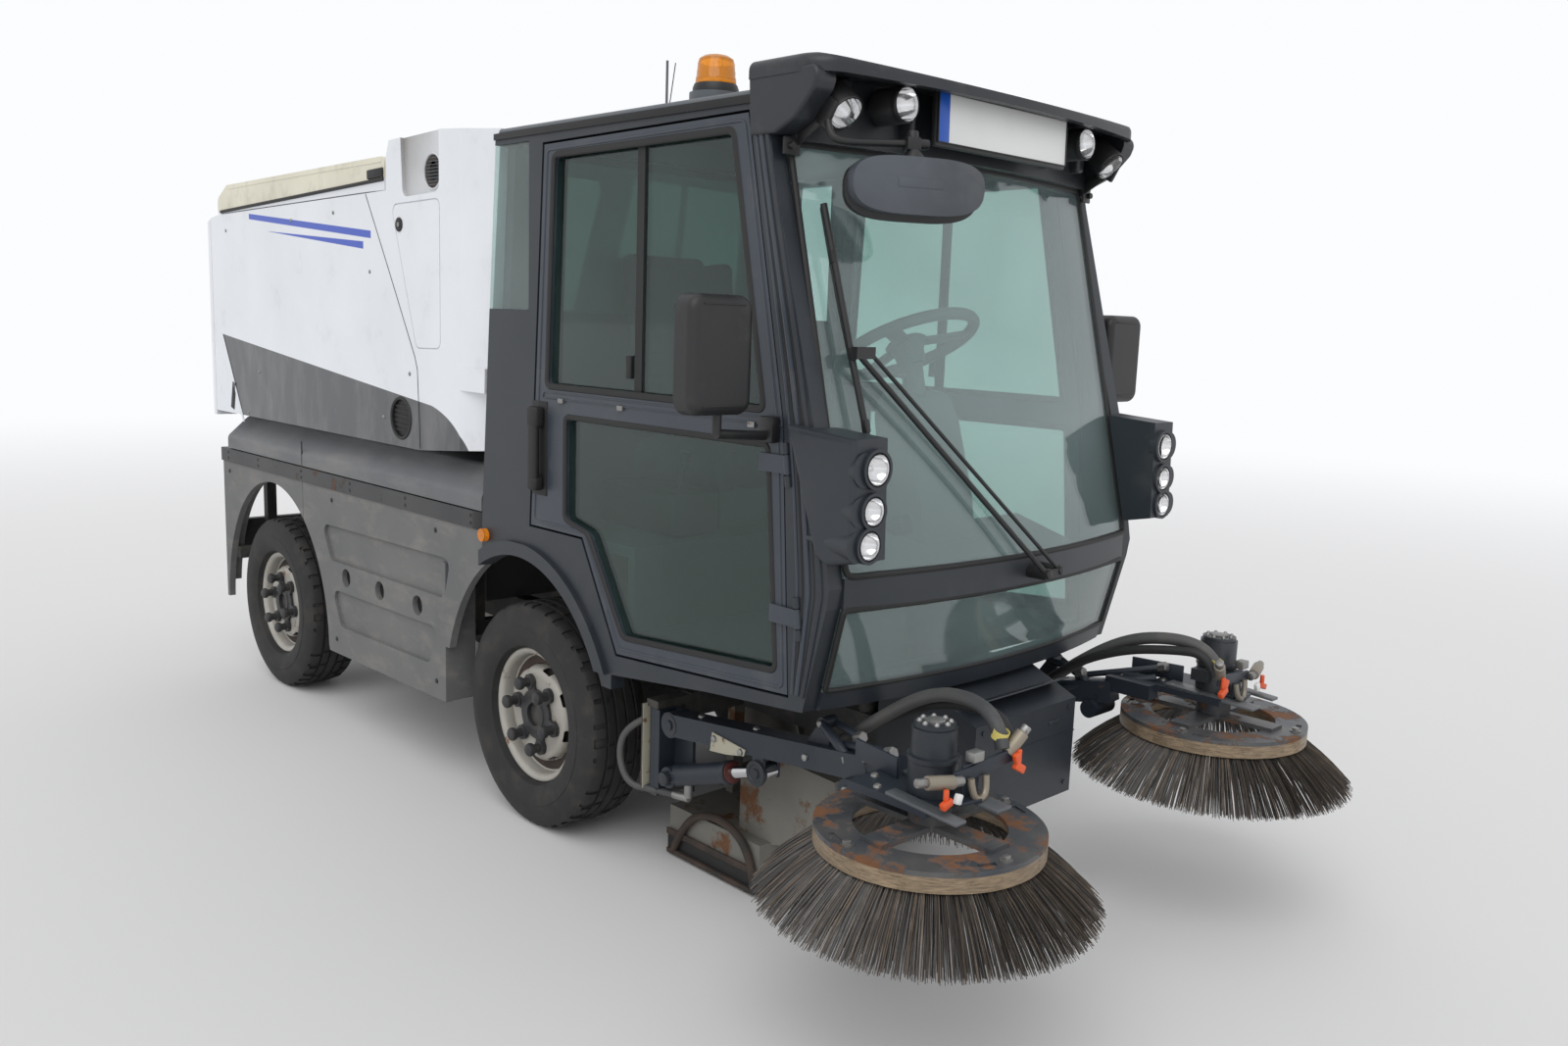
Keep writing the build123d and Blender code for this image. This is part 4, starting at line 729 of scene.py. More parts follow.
def makeIntake(v):
    lip = ((0.000, v["mouth"]), (0.004, v["mouth"] + 0.001), (0.0055, v["rim"] - 0.003), (0.003, v["rim"]),
           (-0.004, v["rim"]), (-0.004, v["mouth"]))
    floor = ((-0.004, v["mouth"]), (0.0005, v["mouth"]), (0.0010, 0.030), (0.0010, 0.004))
    parts = [paintWith(turned("rim", lip, 56, closed=True), "whiteShell"), paintWith(turned("mouth", floor, 56), "skidRust")]
    for index in range(v["bars"]):
        across = (index - (v["bars"] - 1) / 2) * 2 * v["mouth"] / (v["bars"] + 1)
        reach = (v["mouth"] ** 2 - across ** 2) ** 0.5 - 0.001
        parts += made("wheelGrey", rod("bar", (across, -reach, v["barX"]), (across, reach, v["barX"]), v["barRadius"], 6))
    return placed(joined("cowl_intake_right", parts), v["centre"], -90, "Y")


intakeRight = makeIntake(intake)
for piece in (intakeRight, mirrored(intakeRight, "cowl_intake_left")):
    fit(piece, "hopper")
print("stage: cowl intake")

# ---- skirt hole plugs
plugs = {"x": 0.5940, "thick": 0.0050, "along": (0.972, 0.706, 0.430), "z": 0.583, "radius": 0.0345}
plugParts = [pin("plug", (plugs["x"], y, plugs["z"]), plugs["thick"], plugs["radius"], 32, 0.001) for y in plugs["along"]]
bothSides("skirt_plugs", made("blackPlastic", *plugParts))

# ---- wheels, with profiles of (outwards, radius)
wheel = {"segments": 72, "boltRing": 0.1025, "bolts": 6, "firstBolt": 163, "slots": 8, "firstSlot": 0.35,
         "barrel": ((0.0785, 0.1965), (0.0800, 0.2010), (0.0795, 0.2055), (0.0765, 0.2085), (0.0700, 0.2085),
                    (0.0665, 0.1896), (0.034, 0.1896), (0.022, 0.158), (-0.022, 0.158), (-0.034, 0.1896),
                    (-0.0655, 0.1896), (-0.068, 0.2070), (-0.0755, 0.2070), (-0.0745, 0.1995), (-0.069, 0.1850),
                    (-0.038, 0.1845), (-0.026, 0.153), (0.026, 0.153), (0.038, 0.1840), (0.0640, 0.1860),
                    (0.0700, 0.1885), (0.0750, 0.1920)),
         "rustFloor": ((0.036, 0.1535), (0.036, 0.1842), (0.034, 0.1842), (0.034, 0.1535)),
         "disc": ((0.000, 0.1535), (0.012, 0.1510), (0.044, 0.1500), (0.056, 0.1470), (0.064, 0.1400), (0.0675, 0.1300),
                  (0.0670, 0.115), (0.0650, 0.085), (0.0650, 0.050), (0.0610, 0.050), (0.0610, 0.085), (0.0630, 0.115),
                  (0.0635, 0.129), (0.0605, 0.1375), (0.053, 0.1435), (0.043, 0.1460), (0.010, 0.1470), (-0.002, 0.1495)),
         "hubPlate": ((0.0655, 0.036), (0.0655, 0.078), (0.0740, 0.078), (0.0760, 0.076), (0.0765, 0.052), (0.0800, 0.050),
                      (0.0800, 0.036)),
         "cap": ((0.066, 0.0235), (0.080, 0.0235), (0.082, 0.0145), (0.102, 0.0140), (0.104, 0.0195), (0.112, 0.0210),
                 (0.119, 0.0190), (0.1235, 0.0130), (0.125, 0.0050)),
         "bore": (0.030, 0.032, 0.0355, 32), "drum": (0.020, 0.014, 0.140, 48)}      # from, length, radius, segments


def makeWheel(w):
    barrel, disc, rustFloor = (turned(name, w[name], w["segments"], closed=True) for name in ("barrel", "disc", "rustFloor"))
    cutters = []
    for index in range(w["slots"]):
        cutter = block("cutter", (0.040, 0.042, 0.030), (0.151, 0, 0.047), edge=0.006, segments=3)
        cutters.append(placed(cutter, (0, 0, 0), 360 * (index + w["firstSlot"]) / w["slots"], "Z"))
    cutters = joined("cutters", cutters)
    modified(disc, "BOOLEAN", operation="DIFFERENCE", object=cutters)
    bpy.data.objects.remove(cutters)
    dark = [turned("hubPlate", w["hubPlate"], 48, closed=True)]
    for index in range(w["bolts"]):
        lobe = block("lobe", (0.052, 0.038, 0.0105), (0.086, 0, 0.0708), edge=0.003)
        cap = placed(turned("cap", w["cap"], 24), (w["boltRing"], 0, 0))
        dark += [placed(piece, (0, 0, 0), w["firstBolt"] + 360 * index / w["bolts"], "Z") for piece in (lobe, cap)]
    bore, drum = (pin(name, (0, 0, w[name][0]), *w[name][1:], axis=2) for name in ("bore", "drum"))
    return joined("wheel", made("rimPaint", barrel, disc) + made("skidRust", rustFloor, bore) + made("frameSteel", drum)
                  + made("hubBlack", *dark))


pattern = makeWheel(wheel)
for end, along in tyre["axles"]:
    place = Matrix.Translation((tyre["x"], along, tyre["z"])) @ Matrix.Rotation(radians(90), 4, "Y")
    bothSides(end + "_wheel", [copyOf(pattern, place)], end + "_{side}_wheel", end + "_{side}_rim")
bpy.data.objects.remove(pattern)
print("stage: wheels")

# ---- bristles: rows of root radius, tip radius, tip height, count
bristles = {"x": 0.615, "y": -1.810, "rootZ": 0.4905, "rows": ((0.236, 0.386, 0.394, 940), (0.222, 0.375, 0.386, 820),
            (0.205, 0.350, 0.380, 680), (0.187, 0.322, 0.378, 480)), "thick": 0.00135, "bow": 14, "seed": 11,
            "angleSpread": 0.035, "radiusSpread": 0.016, "heightSpread": 0.009, "steps": 4, "taper": 0.35,
            "colours": ("bristleDark", "bristleDark", "bristleGrey", "bristleTan")}


def makeStrand(b, length):
    parts = [step / b["steps"] for step in range(b["steps"] + 1)]
    strand = turned("strand", [(length * part, b["thick"] * (1 - b["taper"] * part)) for part in parts], 3)
    return modified(strand, "SIMPLE_DEFORM", deform_method="BEND", angle=radians(b["bow"]), deform_axis="Y")


def makeBristles(b):
    chance = random.Random(b["seed"])
    groups = []
    for rootRadius, tipRadius, tipZ, count in b["rows"]:
        drop = b["rootZ"] - tipZ
        reach = tipRadius - rootRadius
        strand = makeStrand(b, hypot(drop, reach))
        for index in range(count):
            around = 2 * pi * index / count + chance.uniform(-1, 1) * b["angleSpread"] * 0.3
            out = reach + chance.uniform(-1, 0.35) * b["radiusSpread"]
            down = drop + chance.uniform(-0.6, 1) * b["heightSpread"] * 0.3
            root = rootRadius + chance.uniform(-0.006, 0.003)
            move = (Matrix.Rotation(around, 4, "Z") @ Matrix.Translation((root, 0, b["rootZ"]))
                    @ Matrix.Rotation(chance.uniform(-1, 1) * b["angleSpread"], 4, "X")
                    @ Matrix.Rotation(pi - atan2(out, down), 4, "Y") @ Matrix.Scale(hypot(out, down) / hypot(drop, reach), 4))
            groups.append(paintWith(copyOf(strand, move), chance.choice(b["colours"])))
        bpy.data.objects.remove(strand)
    return joined("bristleFan", groups)


fan = makeBristles(bristles)
for side, sign in (("left", 1), ("right", -1)):
    place = Matrix.Translation((sign * bristles["x"], bristles["y"], 0))
    piece = copyOf(fan, place, f"brush_bristle_strands_{side}")
    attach(piece, f"brush_{side}")
    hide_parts(f"brush_bristles_{side}")
bpy.data.objects.remove(fan)
print("stage: bristles")

# ---- lamps: shares of a lamp's depth and radius, then rows of x, y of the lens edge, z, radius, depth, kind
lampLook = {"segments": 40, "dish": ((0.0, 0.22), (0.35, 0.62), (0.75, 0.86), (1.0, 0.94)), "workTilt": 42,
            "bezel": ((-0.012, 0.90), (0.001, 0.93), (0.0035, 0.965), (0.001, 1.0), (-0.012, 1.0)),
            "lens": ((-0.002, 0.93), (0.003, 0.90), (0.006, 0.70), (0.0078, 0.38), (0.0085, 0.08)),
            "workShell": ((-0.094, 0.024), (-0.088, 0.031), (-0.060, 0.040), (-0.012, 0.0435), (0.0, 0.0435)),
            "workBack": ((-0.095, 0.010), (-0.094, 0.0238), (-0.092, 0.0238)),
            "roofShell": ((-0.078, 0.042), (-0.004, 0.042), (0.0, 0.040)),
            "rows": ((0.600, -1.603, 1.264, 0.0375, 0.030, "pod"), (0.607, -1.603, 1.173, 0.0335, 0.030, "pod"),
                     (0.616, -1.603, 1.098, 0.0335, 0.030, "pod"), (0.367, -1.430, 2.070, 0.042, 0.040, "roof"),
                     (0.536, -1.402, 2.032, 0.043, 0.050, "work"))}


def makeLamp(x, y, z, radius, depth, kind):
    look, across = lampLook, lampLook["segments"]
    dish = [(high * depth - depth, r * radius) for high, r in look["dish"]]
    parts = made("reflector", turned("dish", dish, across, capped=False))
    parts += made("blackPlastic", turned("bezel", [(high, r * radius) for high, r in look["bezel"]], across, closed=True))
    parts += made("lampGlass", turned("lens", [(high, r * radius) for high, r in look["lens"]], across))
    parts += made("reflector", pin("bulb", (0, 0, -depth * 0.9), depth * 0.45, 0.006, 12, 0.002, axis=2))
    if kind != "pod":
        parts += made("blackPlastic", turned("shell", look[kind + "Shell"], across, capped=False))
    if kind != "roof":
        back = look["workBack"] if kind == "work" else [(-depth - 0.001, radius * 0.9), (-depth, radius * 0.9)]
        parts += made("blackPlastic", turned("back", back, across))
    return placed(joined("lamp", parts), (x, y, z), 90 + (look["workTilt"] if kind == "work" else 0))


lamps = [makeLamp(*row) for row in lampLook["rows"]]
lampBar = [(-1.392, 2.040), (-1.392, 2.018), (-1.285, 1.958), (-1.262, 1.958), (-1.262, 1.985)]
struts = made("blackPlastic", block("lampClamp", (0.012, 0.036, 0.066), (0.576, -1.385, 2.030), (30, 0, 0), 0.004),
              pin("clampBolt", (0.566, -1.372, 2.048), 0.024, 0.007, 8), sheet("lampBar", lampBar, 0.5765, 0.006, 0.001),
              block("foot", (0.046, 0.008, 0.040), (0.594, -1.292, 1.962), (0, 0, 8), 0.003),
              pin("footBolt", (0.600, -1.306, 1.962), 0.016, 0.008, 12, axis=1))
bothSides("front_lamp_units", lamps + struts, "chassis", "front_lamps")
print("stage: lamps")

# ---- number plate, visor bosses, beacon, aerial, roof edge
plate = {"place": (0, -1.437, 2.058), "size": (0.520, 0.003, 0.111), "lean": -1.4, "band": 0.040, "rim": (0.2615, 0.057)}
onRoof = {"bosses": ((-0.475, 2.066, 0.036), (0.475, 2.066, 0.036), (-0.290, 2.058, 0.020), (0.290, 2.058, 0.020)),
          "crown": 0.100, "halfCab": 0.585, "visorY": -1.290, "beacon": (-0.487, -0.900, 0), "aerial": (-0.100, -0.213),
          "whipTop": (-0.086, -0.236, 2.345), "edgeY": -0.6435}


def plateBlock(name, size, x=0, y=0.0, z=0.0, edge=0.001):      # measured from the middle of the plate
    middle = plate["place"]
    return block(name, size, (x, middle[1] + y, middle[2] + z), (plate["lean"], 0, 0), edge)


wide, thick, high = plate["size"]
parts = made("blackPlastic", plateBlock("holder", (0.530, 0.016, 0.132), 0, 0.010, -0.001, 0.004))
parts += made("plateWhite", plateBlock("whitePart", (wide - plate["band"], thick, high), plate["band"] / 2))
parts += made("plateBlue", plateBlock("bluePart", (plate["band"], thick, high), (plate["band"] - wide) / 2))
rim = [plateBlock("rimBar", (0.524, 0.006, 0.003), 0, -0.001, sign * plate["rim"][1]) for sign in (-1, 1)]
rim += [plateBlock("rimBar", (0.003, 0.006, 0.115), sign * plate["rim"][0], -0.001) for sign in (-1, 1)]
rim += [block("hanger", (0.040, 0.040, 0.020), (x, -1.410, 2.112), edge=0.003) for x in (-0.18, 0.18)]
fit(joined("number_plate", parts + made("blackPlastic", *rim)), "chassis")

bosses = []
for x, high, wide in onRoof["bosses"]:
    sag = onRoof["crown"] * (1 - (x / onRoof["halfCab"]) ** 2)
    bosses.append(block("boss", (wide, 0.050, 0.110), (x, onRoof["visorY"] - sag, high), edge=0.010, segments=3))
fit(joined("visor_bosses", bosses), "chassis", "visorPlastic")

beaconFoot = [(2.1284, 0.052), (2.1284, 0.058), (2.140, 0.058), (2.150, 0.054)]
beaconDome = [(2.150, 0.050), (2.154, 0.0515), (2.166, 0.0505), (2.168, 0.0490), (2.182, 0.0485), (2.184, 0.0475),
              (2.200, 0.0465), (2.211, 0.0430), (2.218, 0.0330), (2.2218, 0.0160), (2.222, 0.0020)]
beaconParts = made("blackPlastic", turned("base", beaconFoot)) + made("amberPlastic", turned("dome", beaconDome))
beaconUnit = placed(joined("beacon_unit", beaconParts), onRoof["beacon"])
fit(beaconUnit, "chassis")
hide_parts("beacon")
foot = onRoof["aerial"]
whips = [rod("whip", (*foot, 2.150), onRoof["whipTop"], 0.0016, 8), pin("whipFoot", (*foot, 2.172), 0.018, 0.007, 12, axis=2),
         placed(turned("whipCone", [(2.160, 0.020), (2.176, 0.012)], 24), (*foot, 0))]
fit(joined("aerial_foot", whips), "chassis", "blackPlastic")
bothSides("roof_gutter", made("rubber", block("gutter", (0.004, 1.104, 0.018), (0.6335, onRoof["edgeY"], 2.068), edge=0.001),
                              block("gutterFront", (0.030, 0.004, 0.018), (0.620, -1.1965, 2.068), edge=0.001)))
bothSides("roof_seam", made("rubber", block("seam", (0.002, 1.09, 0.006), (0.6185, onRoof["edgeY"], 2.079))))
print("stage: roof gear")

# ---- windscreen seals, pillars, wiper parts
glass = {"screen": (1.008, 1.972, 0.580, 0.0085), "low": (0.730, 0.931, 0.580, 0.0075), "crown": 0.080, "halfCab": 0.63,
         "ahead": 0.002, "across": (-0.99, -0.92, -0.5, 0.0, 0.5, 0.92, 0.99), "up": (0.02, 0.06, 0.5, 0.94, 0.98)}
pillar = {"rows": ((2.035, -1.184, -1.2535), (1.958, -1.200, -1.264), (1.340, -1.3325, -1.435), (0.983, -1.358, -1.501),
                   (0.934, -1.3615, -1.494), (0.720, -1.3775, -1.4405)),    # z, y of the door edge, y of the pillar's front
          "ridges": (("doorPaint", 0.30, 0.0055), ("rubber", 0.42, 0.0045), ("doorPaint", 0.56, 0.0080),
                     ("rubber", 0.70, 0.0035), ("cabPaint", 0.84, 0.0075))}
wiper = {"blade": [(-0.541, -1.343, 1.830), (-0.533, -1.385, 1.660), (-0.521, -1.430, 1.500), (-0.511, -1.467, 1.370),
                   (-0.501, -1.494, 1.255)],
         "clamps": ((-0.534, -1.378, 1.720), (-0.521, -1.438, 1.505), (-0.508, -1.478, 1.345))}


def crownAt(x):
    return glass["crown"] * (1 - (x / glass["halfCab"]) ** 2) - glass["ahead"]


def screenPoint(x, z):
    return (x, -1.501 + 0.243 * (z - 0.983) - crownAt(x), z)


def sillPoint(x, z):
    return (x, -1.431 - 0.25 * (z - 0.682) - crownAt(x), z)


def glassSeal(name, point, low, high, half, radius):
    path = []
    for sign, start, end in ((1, low, high), (-1, high, low)):
        path += [point(sign * step * half, start) for step in glass["across"]]
        path += [point(sign * half, start + (end - start) * part) for part in glass["up"]]
    return hose(name, path, radius, 2, 3, True)


fit(glassSeal("windscreen_seal", screenPoint, *glass["screen"]), "chassis", "rubber")
fit(glassSeal("low_screen_seal", sillPoint, *glass["low"]), "chassis", "rubber")
ridges = []
for finish, share, radius in pillar["ridges"]:
    path = [(0.628, back + (ahead - back) * share, z) for z, back, ahead in pillar["rows"]]
    ridges += made(finish, hose("ridge", path, radius, 2))
bothSides("pillar_ridges", ridges)
wiperParts = [hose("wiperRubber", wiper["blade"], 0.0045, 2)]
wiperParts += [block("clamp", (0.016, 0.016, 0.030), spot, (-14, 0, 0), 0.003) for spot in wiper["clamps"]]
wiperParts += [pin("knob", place, 0.012, radius, 16, 0.003, axis=1)
               for place, radius in (((0.030, -1.638, 0.966), 0.012), ((0.085, -1.636, 0.970), 0.010))]
fit(joined("wiper_parts", wiperParts), "chassis", "blackPlastic")
print("stage: screen and pillars")

# ---- doors: outlines of (y, z)
door = {"upperGlass": [(-0.390, 2.000), (-1.133, 2.006), (-1.266, 1.369), (-0.362, 1.369)],
        "lowerGlass": [(-0.455, 1.290), (-1.285, 1.290), (-1.335, 0.760), (-0.735, 0.715), (-0.570, 0.975), (-0.455, 1.000)],
        "edge": [(-0.346, 2.030), (-1.183, 2.040), (-1.331, 1.347), (-1.378, 0.712), (-0.712, 0.665), (-0.545, 0.962),
                 (-0.285, 0.962)],
        "transom": [(-0.350, 1.352), (-1.327, 1.352), (-1.330, 1.336), (-0.345, 1.336)],
        "edgeLine": [(-0.362, 2.014), (-1.172, 2.024), (-1.316, 1.345), (-1.362, 0.726), (-0.720, 0.682), (-0.553, 0.978),
                     (-0.303, 0.978)],
        "outerX": 0.6275, "innerX": 0.5885, "gripY": -0.3335, "latchesY": (-0.716, -0.440, -1.230)}
doorParts = made("rubber", seal("sealUpper", door["upperGlass"], 0.0095, door["outerX"]),
                 seal("sealLower", door["lowerGlass"], 0.0085, door["outerX"]),
                 seal("sealUpperIn", door["upperGlass"], 0.010, door["innerX"]),
                 seal("sealLowerIn", door["lowerGlass"], 0.010, door["innerX"]),
                 seal("sealDoor", door["edge"], 0.006, 0.5865, 0.03),
                 block("slider", (0.012, 0.030, 0.632), (0.6115, -0.772, 1.687)),
                 block("sliderHandle", (0.012, 0.022, 0.060), (0.6160, -0.735, 1.44), edge=0.003),
                 block("handleWell", (0.003, 0.075, 0.270), (0.6290, -0.330, 1.190), edge=0.001),
                 block("gripBar", (0.020, 0.040, 0.215), (0.6520, door["gripY"], 1.190), edge=0.008, segments=3),
                 block("gripTop", (0.034, 0.050, 0.060), (0.6460, door["gripY"], 1.280), edge=0.010, segments=3),
                 block("gripLow", (0.034, 0.044, 0.040), (0.6460, door["gripY"], 1.090), edge=0.010, segments=3))
latches = [block("latch", (0.008, 0.024, 0.014), (0.6315, y, 1.332), edge=0.002) for y in door["latchesY"]]
doorParts += made("zincSteel", *latches, pin("lock", (0.655, door["gripY"], 1.285), 0.0075, 0.009, 20, 0.001))
doorParts += made("doorPaint", seal("transomTop", door["transom"], 0.0022, 0.6285, 0.004, 1.0),
                  seal("edgeLine", door["edgeLine"], 0.0035, 0.6280, 0.03, 0.8))
bothSides("door_trim", doorParts, "door_{side}")
glassFace = roundEdges(block("glassFace", (0.150, 0.003, 0.226), (0.810, -1.2685, 1.495)), 0.022, 4, 80)
mirrorRibs = (block("mirrorRib", (0.120, 0.004, 0.004), (0.810, -1.3315, z), edge=0.0015) for z in (1.385, 1.605))
mirrorTrim = made("mirrorGlass", glassFace) + made("mirrorShell", *mirrorRibs)
mirrorTrim += made("blackPlastic", block("mirrorFoot", (0.030, 0.050, 0.060), (0.641, -1.300, 1.327), edge=0.006))
bothSides("mirror_trim", mirrorTrim, "door_{side}")

# ---- front mirror: its shell is drawn in the (y, z) plane, with x ahead, then turned
mirrorAhead = {"place": (-0.415, -1.505, 1.878), "yaw": -23, "half": 0.165, "over": 0.064, "under": 0.070, "points": 44,
               "powers": (0.55, 0.72), "stayX": -0.415,
               "tube": [(-0.577, -1.388, 2.010), (-0.582, -1.398, 1.985), (-0.570, -1.415, 1.966), (-0.500, -1.450, 1.968),
                        (-0.395, -1.502, 1.974)]}


def rounded(value, power):
    return abs(value) ** power * (1 if value >= 0 else -1)


def shellSheet(name, wide, high, lift, x, thick, edge=0.0):
    m = mirrorAhead
    outline = []
    for k in range(m["points"]):
        turnTo = pi - 2 * pi * (k + 0.5) / m["points"]
        y = m["half"] * rounded(cos(turnTo), m["powers"][0])
        z = m["over" if sin(turnTo) > 0 else "under"] * rounded(sin(turnTo), m["powers"][1])
        outline.append((y * wide, z * high + lift))
    return sheet(name, outline, x, thick, edge)


shellParts = (made("mirrorShell", shellSheet("rim", 1, 1, -0.006, 0.012, 0.018, 0.006))
              + made("mirrorPale", shellSheet("shell", 0.975, 0.93, 0.003, -0.014, 0.042, 0.015))
              + made("mirrorGlass", shellSheet("glass", 0.93, 0.90, -0.006, 0.0215, 0.002))
              + made("mirrorPale", block("shellRib", (0.002, 0.110, 0.020), (-0.0352, 0, 0.006), edge=0.0005)))
for piece in shellParts:
    placed(piece, mirrorAhead["place"], 90 + mirrorAhead["yaw"], "Z")
stayX = mirrorAhead["stayX"]
stay = made("blackPlastic", hose("stayTube", mirrorAhead["tube"], 0.0085, 5),
            rod("stayPost", (stayX, -1.494, 2.000), (stayX, -1.498, 1.950), 0.013, 20, 0.003),
            block("stayClamp", (0.036, 0.030, 0.030), (stayX, -1.494, 1.972), (0, 0, mirrorAhead["yaw"]), 0.005),
            rod("stayEnd", (-0.430, -1.486, 1.972), (-0.378, -1.510, 1.974), 0.012, 16, 0.003),
            placed(turned("ball", [(1.9350, 0.012), (1.9360, 0.020), (1.9400, 0.026), (1.9500, 0.020), (1.9600, 0.012)], 28),
                   (stayX, -1.500, 0)))
frontMirror = fit(joined("front_mirror_unit", shellParts + stay), "chassis")
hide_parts("front_mirror")
print("stage: doors and mirrors")

# ---- hopper fittings
hopper = {"faceX": 0.6300, "screws": ((2.000, 1.860), (0.990, 1.895), (0.715, 1.690), (0.440, 1.360), (0.630, 1.205),
                                      (1.820, 1.130), (1.350, 1.880), (1.700, 1.300)),
          "ventY": 0.504, "ventZ": 1.210, "ventX": 0.6235, "louvres": 6, "lowLouvre": 1.170, "louvreStep": 0.016,
          "ring": [(0.0, 0.062), (0.008, 0.062), (0.0105, 0.066), (0.0105, 0.070), (0.006, 0.073), (0.0, 0.073)],
          "lock": (0.500, 1.840), "seam": ((0.738, 1.948), (0.560, 1.668), (0.389, 1.393), (0.378, 1.200), (0.375, 1.120)),
          "corner": [(2.100, 1.440), (2.070, 1.444), (1.863, 1.088), (1.880, 1.088)], "gateY": 2.2000}
ventY, ventX = hopper["ventY"], hopper["ventX"]
face = hopper["faceX"]
hopperParts = made("zincSteel", *(dome("screw", (face, y, z)) for y, z in hopper["screws"]))
hopperParts += made("rubber", pin("hatchLock", (0.6292, *hopper["lock"]), 0.0048, 0.023, 28, 0.002),
                    # a black disc stands in for the painted shade inside the round hole behind the cowl intake
                    pin("roundHole", (0.5910, 0.286, 1.998), 0.0255, 0.0355, 32),
                    block("slot", (0.004, 0.036, 0.115), (face, 1.975, 1.190), (14, 0, 0), 0.0015),
                    *(block("louvre", (0.006, 0.110, 0.006), (ventX, ventY, hopper["lowLouvre"] + hopper["louvreStep"] * index),
                            edge=0.001) for index in range(hopper["louvres"])),
                    placed(turned("ventRing", hopper["ring"], 40, closed=True), (ventX, ventY, hopper["ventZ"]), 90, "Y"),
                    pin("ventBack", (0.6212, ventY, hopper["ventZ"]), 0.0010, 0.066, 40))
hopperParts += made("zincSteel", pin("lockBarrel", (0.6330, *hopper["lock"]), 0.0025, 0.008, 16))
hopperParts += made("rubber", hose("seamLine", [(face, y, z) for y, z in hopper["seam"]], 0.0016, 1, 2))
hopperParts += made("whiteShell", sheet("corner", hopper["corner"], 0.6305, 0.003, 0.001))
bothSides("hopper_fittings", hopperParts, "hopper")
lidParts = made("rubber", hose("gasketLip", [(face, 0.603, 1.990), (face, 1.300, 1.964), (face, 2.045, 1.937)], 0.0065, 2),
                block("lidStop", (0.014, 0.110, 0.030), (face, 0.660, 2.010), (-2, 0, 0), 0.003))
lidParts += made("zincSteel", sheet("lidEar", [(0.560, 2.058), (0.600, 2.092), (0.655, 2.086), (0.650, 2.058)], 0.382, 0.006))
lidParts += made("lidCream", hose("lidCrease", [(face, 0.620, 2.046), (face, 1.300, 2.038), (face, 1.960, 2.024)], 0.0022, 1))
bothSides("lid_trim", lidParts, "lid")
gateRibs = [block("gateRib", (0.030, 0.008, 0.700), (x, hopper["gateY"], 1.480), edge=0.003) for x in (0.22, 0.50)]
gateParts = made("whiteShell", *gateRibs, block("gateHandle", (0.140, 0.010, 0.030), (0.330, 2.1995, 1.240), edge=0.004))
gateParts += made("rubber", block("gateSeal", (0.008, 0.006, 0.780), (0.6220, hopper["gateY"], 1.490), edge=0.002))
gateParts += made("amberPlastic", pin("topLamp", (0.540, 2.1980, 1.830), 0.0055, 0.030, 24, 0.002, axis=1))
bothSides("gate_trim", gateParts, "tailgate")
print("stage: hopper fittings")

# ---- rail, skirts, front box, suction mouth
sides = {"railX": 0.6215, "holesY": (0.070, 0.500, 0.920, 1.340, 1.760, 2.080), "holesZ": (0.916, 0.940), "skirtX": 0.6180,
         "bolts": ((0.300, 0.860), (1.080, 0.860), (0.300, 0.350), (1.060, 0.335), (2.080, 0.860))}
frontBox = {"faceY": -1.6205, "bolts": ((-0.185, 0.380), (-0.185, 0.590), (0.185, 0.380), (0.185, 0.590))}
mouth = {"middleY": -0.835, "hoop": [(0.382, -1.026, 0.020), (0.384, -1.010, 0.120), (0.384, -0.930, 0.178),
                                     (0.384, -0.820, 0.182), (0.384, -0.720, 0.120), (0.382, -0.672, 0.020)]}
# black discs on the rail stand in for the painted shade inside its holes
sideParts = made("rubber", *(pin("railHole", (sides["railX"], y, z), 0.0013, 0.0065, 14)
                             for y in sides["holesY"] for z in sides["holesZ"]),
                 block("railEnd", (0.024, 0.060, 0.058), (0.6110, 0.030, 0.928), edge=0.004),
                 block("tankSeam", (0.003, 0.006, 0.100), (0.6170, 1.340, 1.005)))
sideParts += made("blackPlastic", *(dome("skirtBolt", (sides["skirtX"], y, z), radius=0.009, height=0.005)
                                    for y, z in sides["bolts"]))
bothSides("side_details", sideParts)
boxParts = [block("boxSeam", (0.432, 0.003, 0.003), (0, frontBox["faceY"], 0.520)),
            block("boxSlot", (0.050, 0.004, 0.010), (0.120, frontBox["faceY"], 0.560), edge=0.001)]
boxParts += [pin("boxBolt", (x, frontBox["faceY"], z), -0.003, 0.007, 6, axis=1) for x, z in frontBox["bolts"]]
boxParts.append(block("boxLid", (0.400, 0.120, 0.004), (0, -1.550, 0.641), (-22.5, 0, 0), 0.001))
fit(joined("front_box_details", boxParts), "chassis", "cabPaint")
flaps = made("rubber", block("flap", (0.006, 0.396, 0.064), (0.3730, mouth["middleY"], 0.040), edge=0.002),
             block("flapFront", (0.373, 0.006, 0.064), (0.1865, -1.033, 0.040), edge=0.002))
flaps += made("skidRust", block("flapBar", (0.006, 0.396, 0.020), (0.3790, mouth["middleY"], 0.072), edge=0.002),
              block("skid", (0.012, 0.380, 0.014), (0.3815, mouth["middleY"], 0.016), edge=0.002),
              hose("hoop", mouth["hoop"], 0.012, 3))
bothSides("mouth_rubber", flaps)
bothSides("splash_face", made("latchCream", block("face", (0.066, 0.003, 0.250), (0.483, -0.6892, 0.374), edge=0.001)))
print("stage: body details")

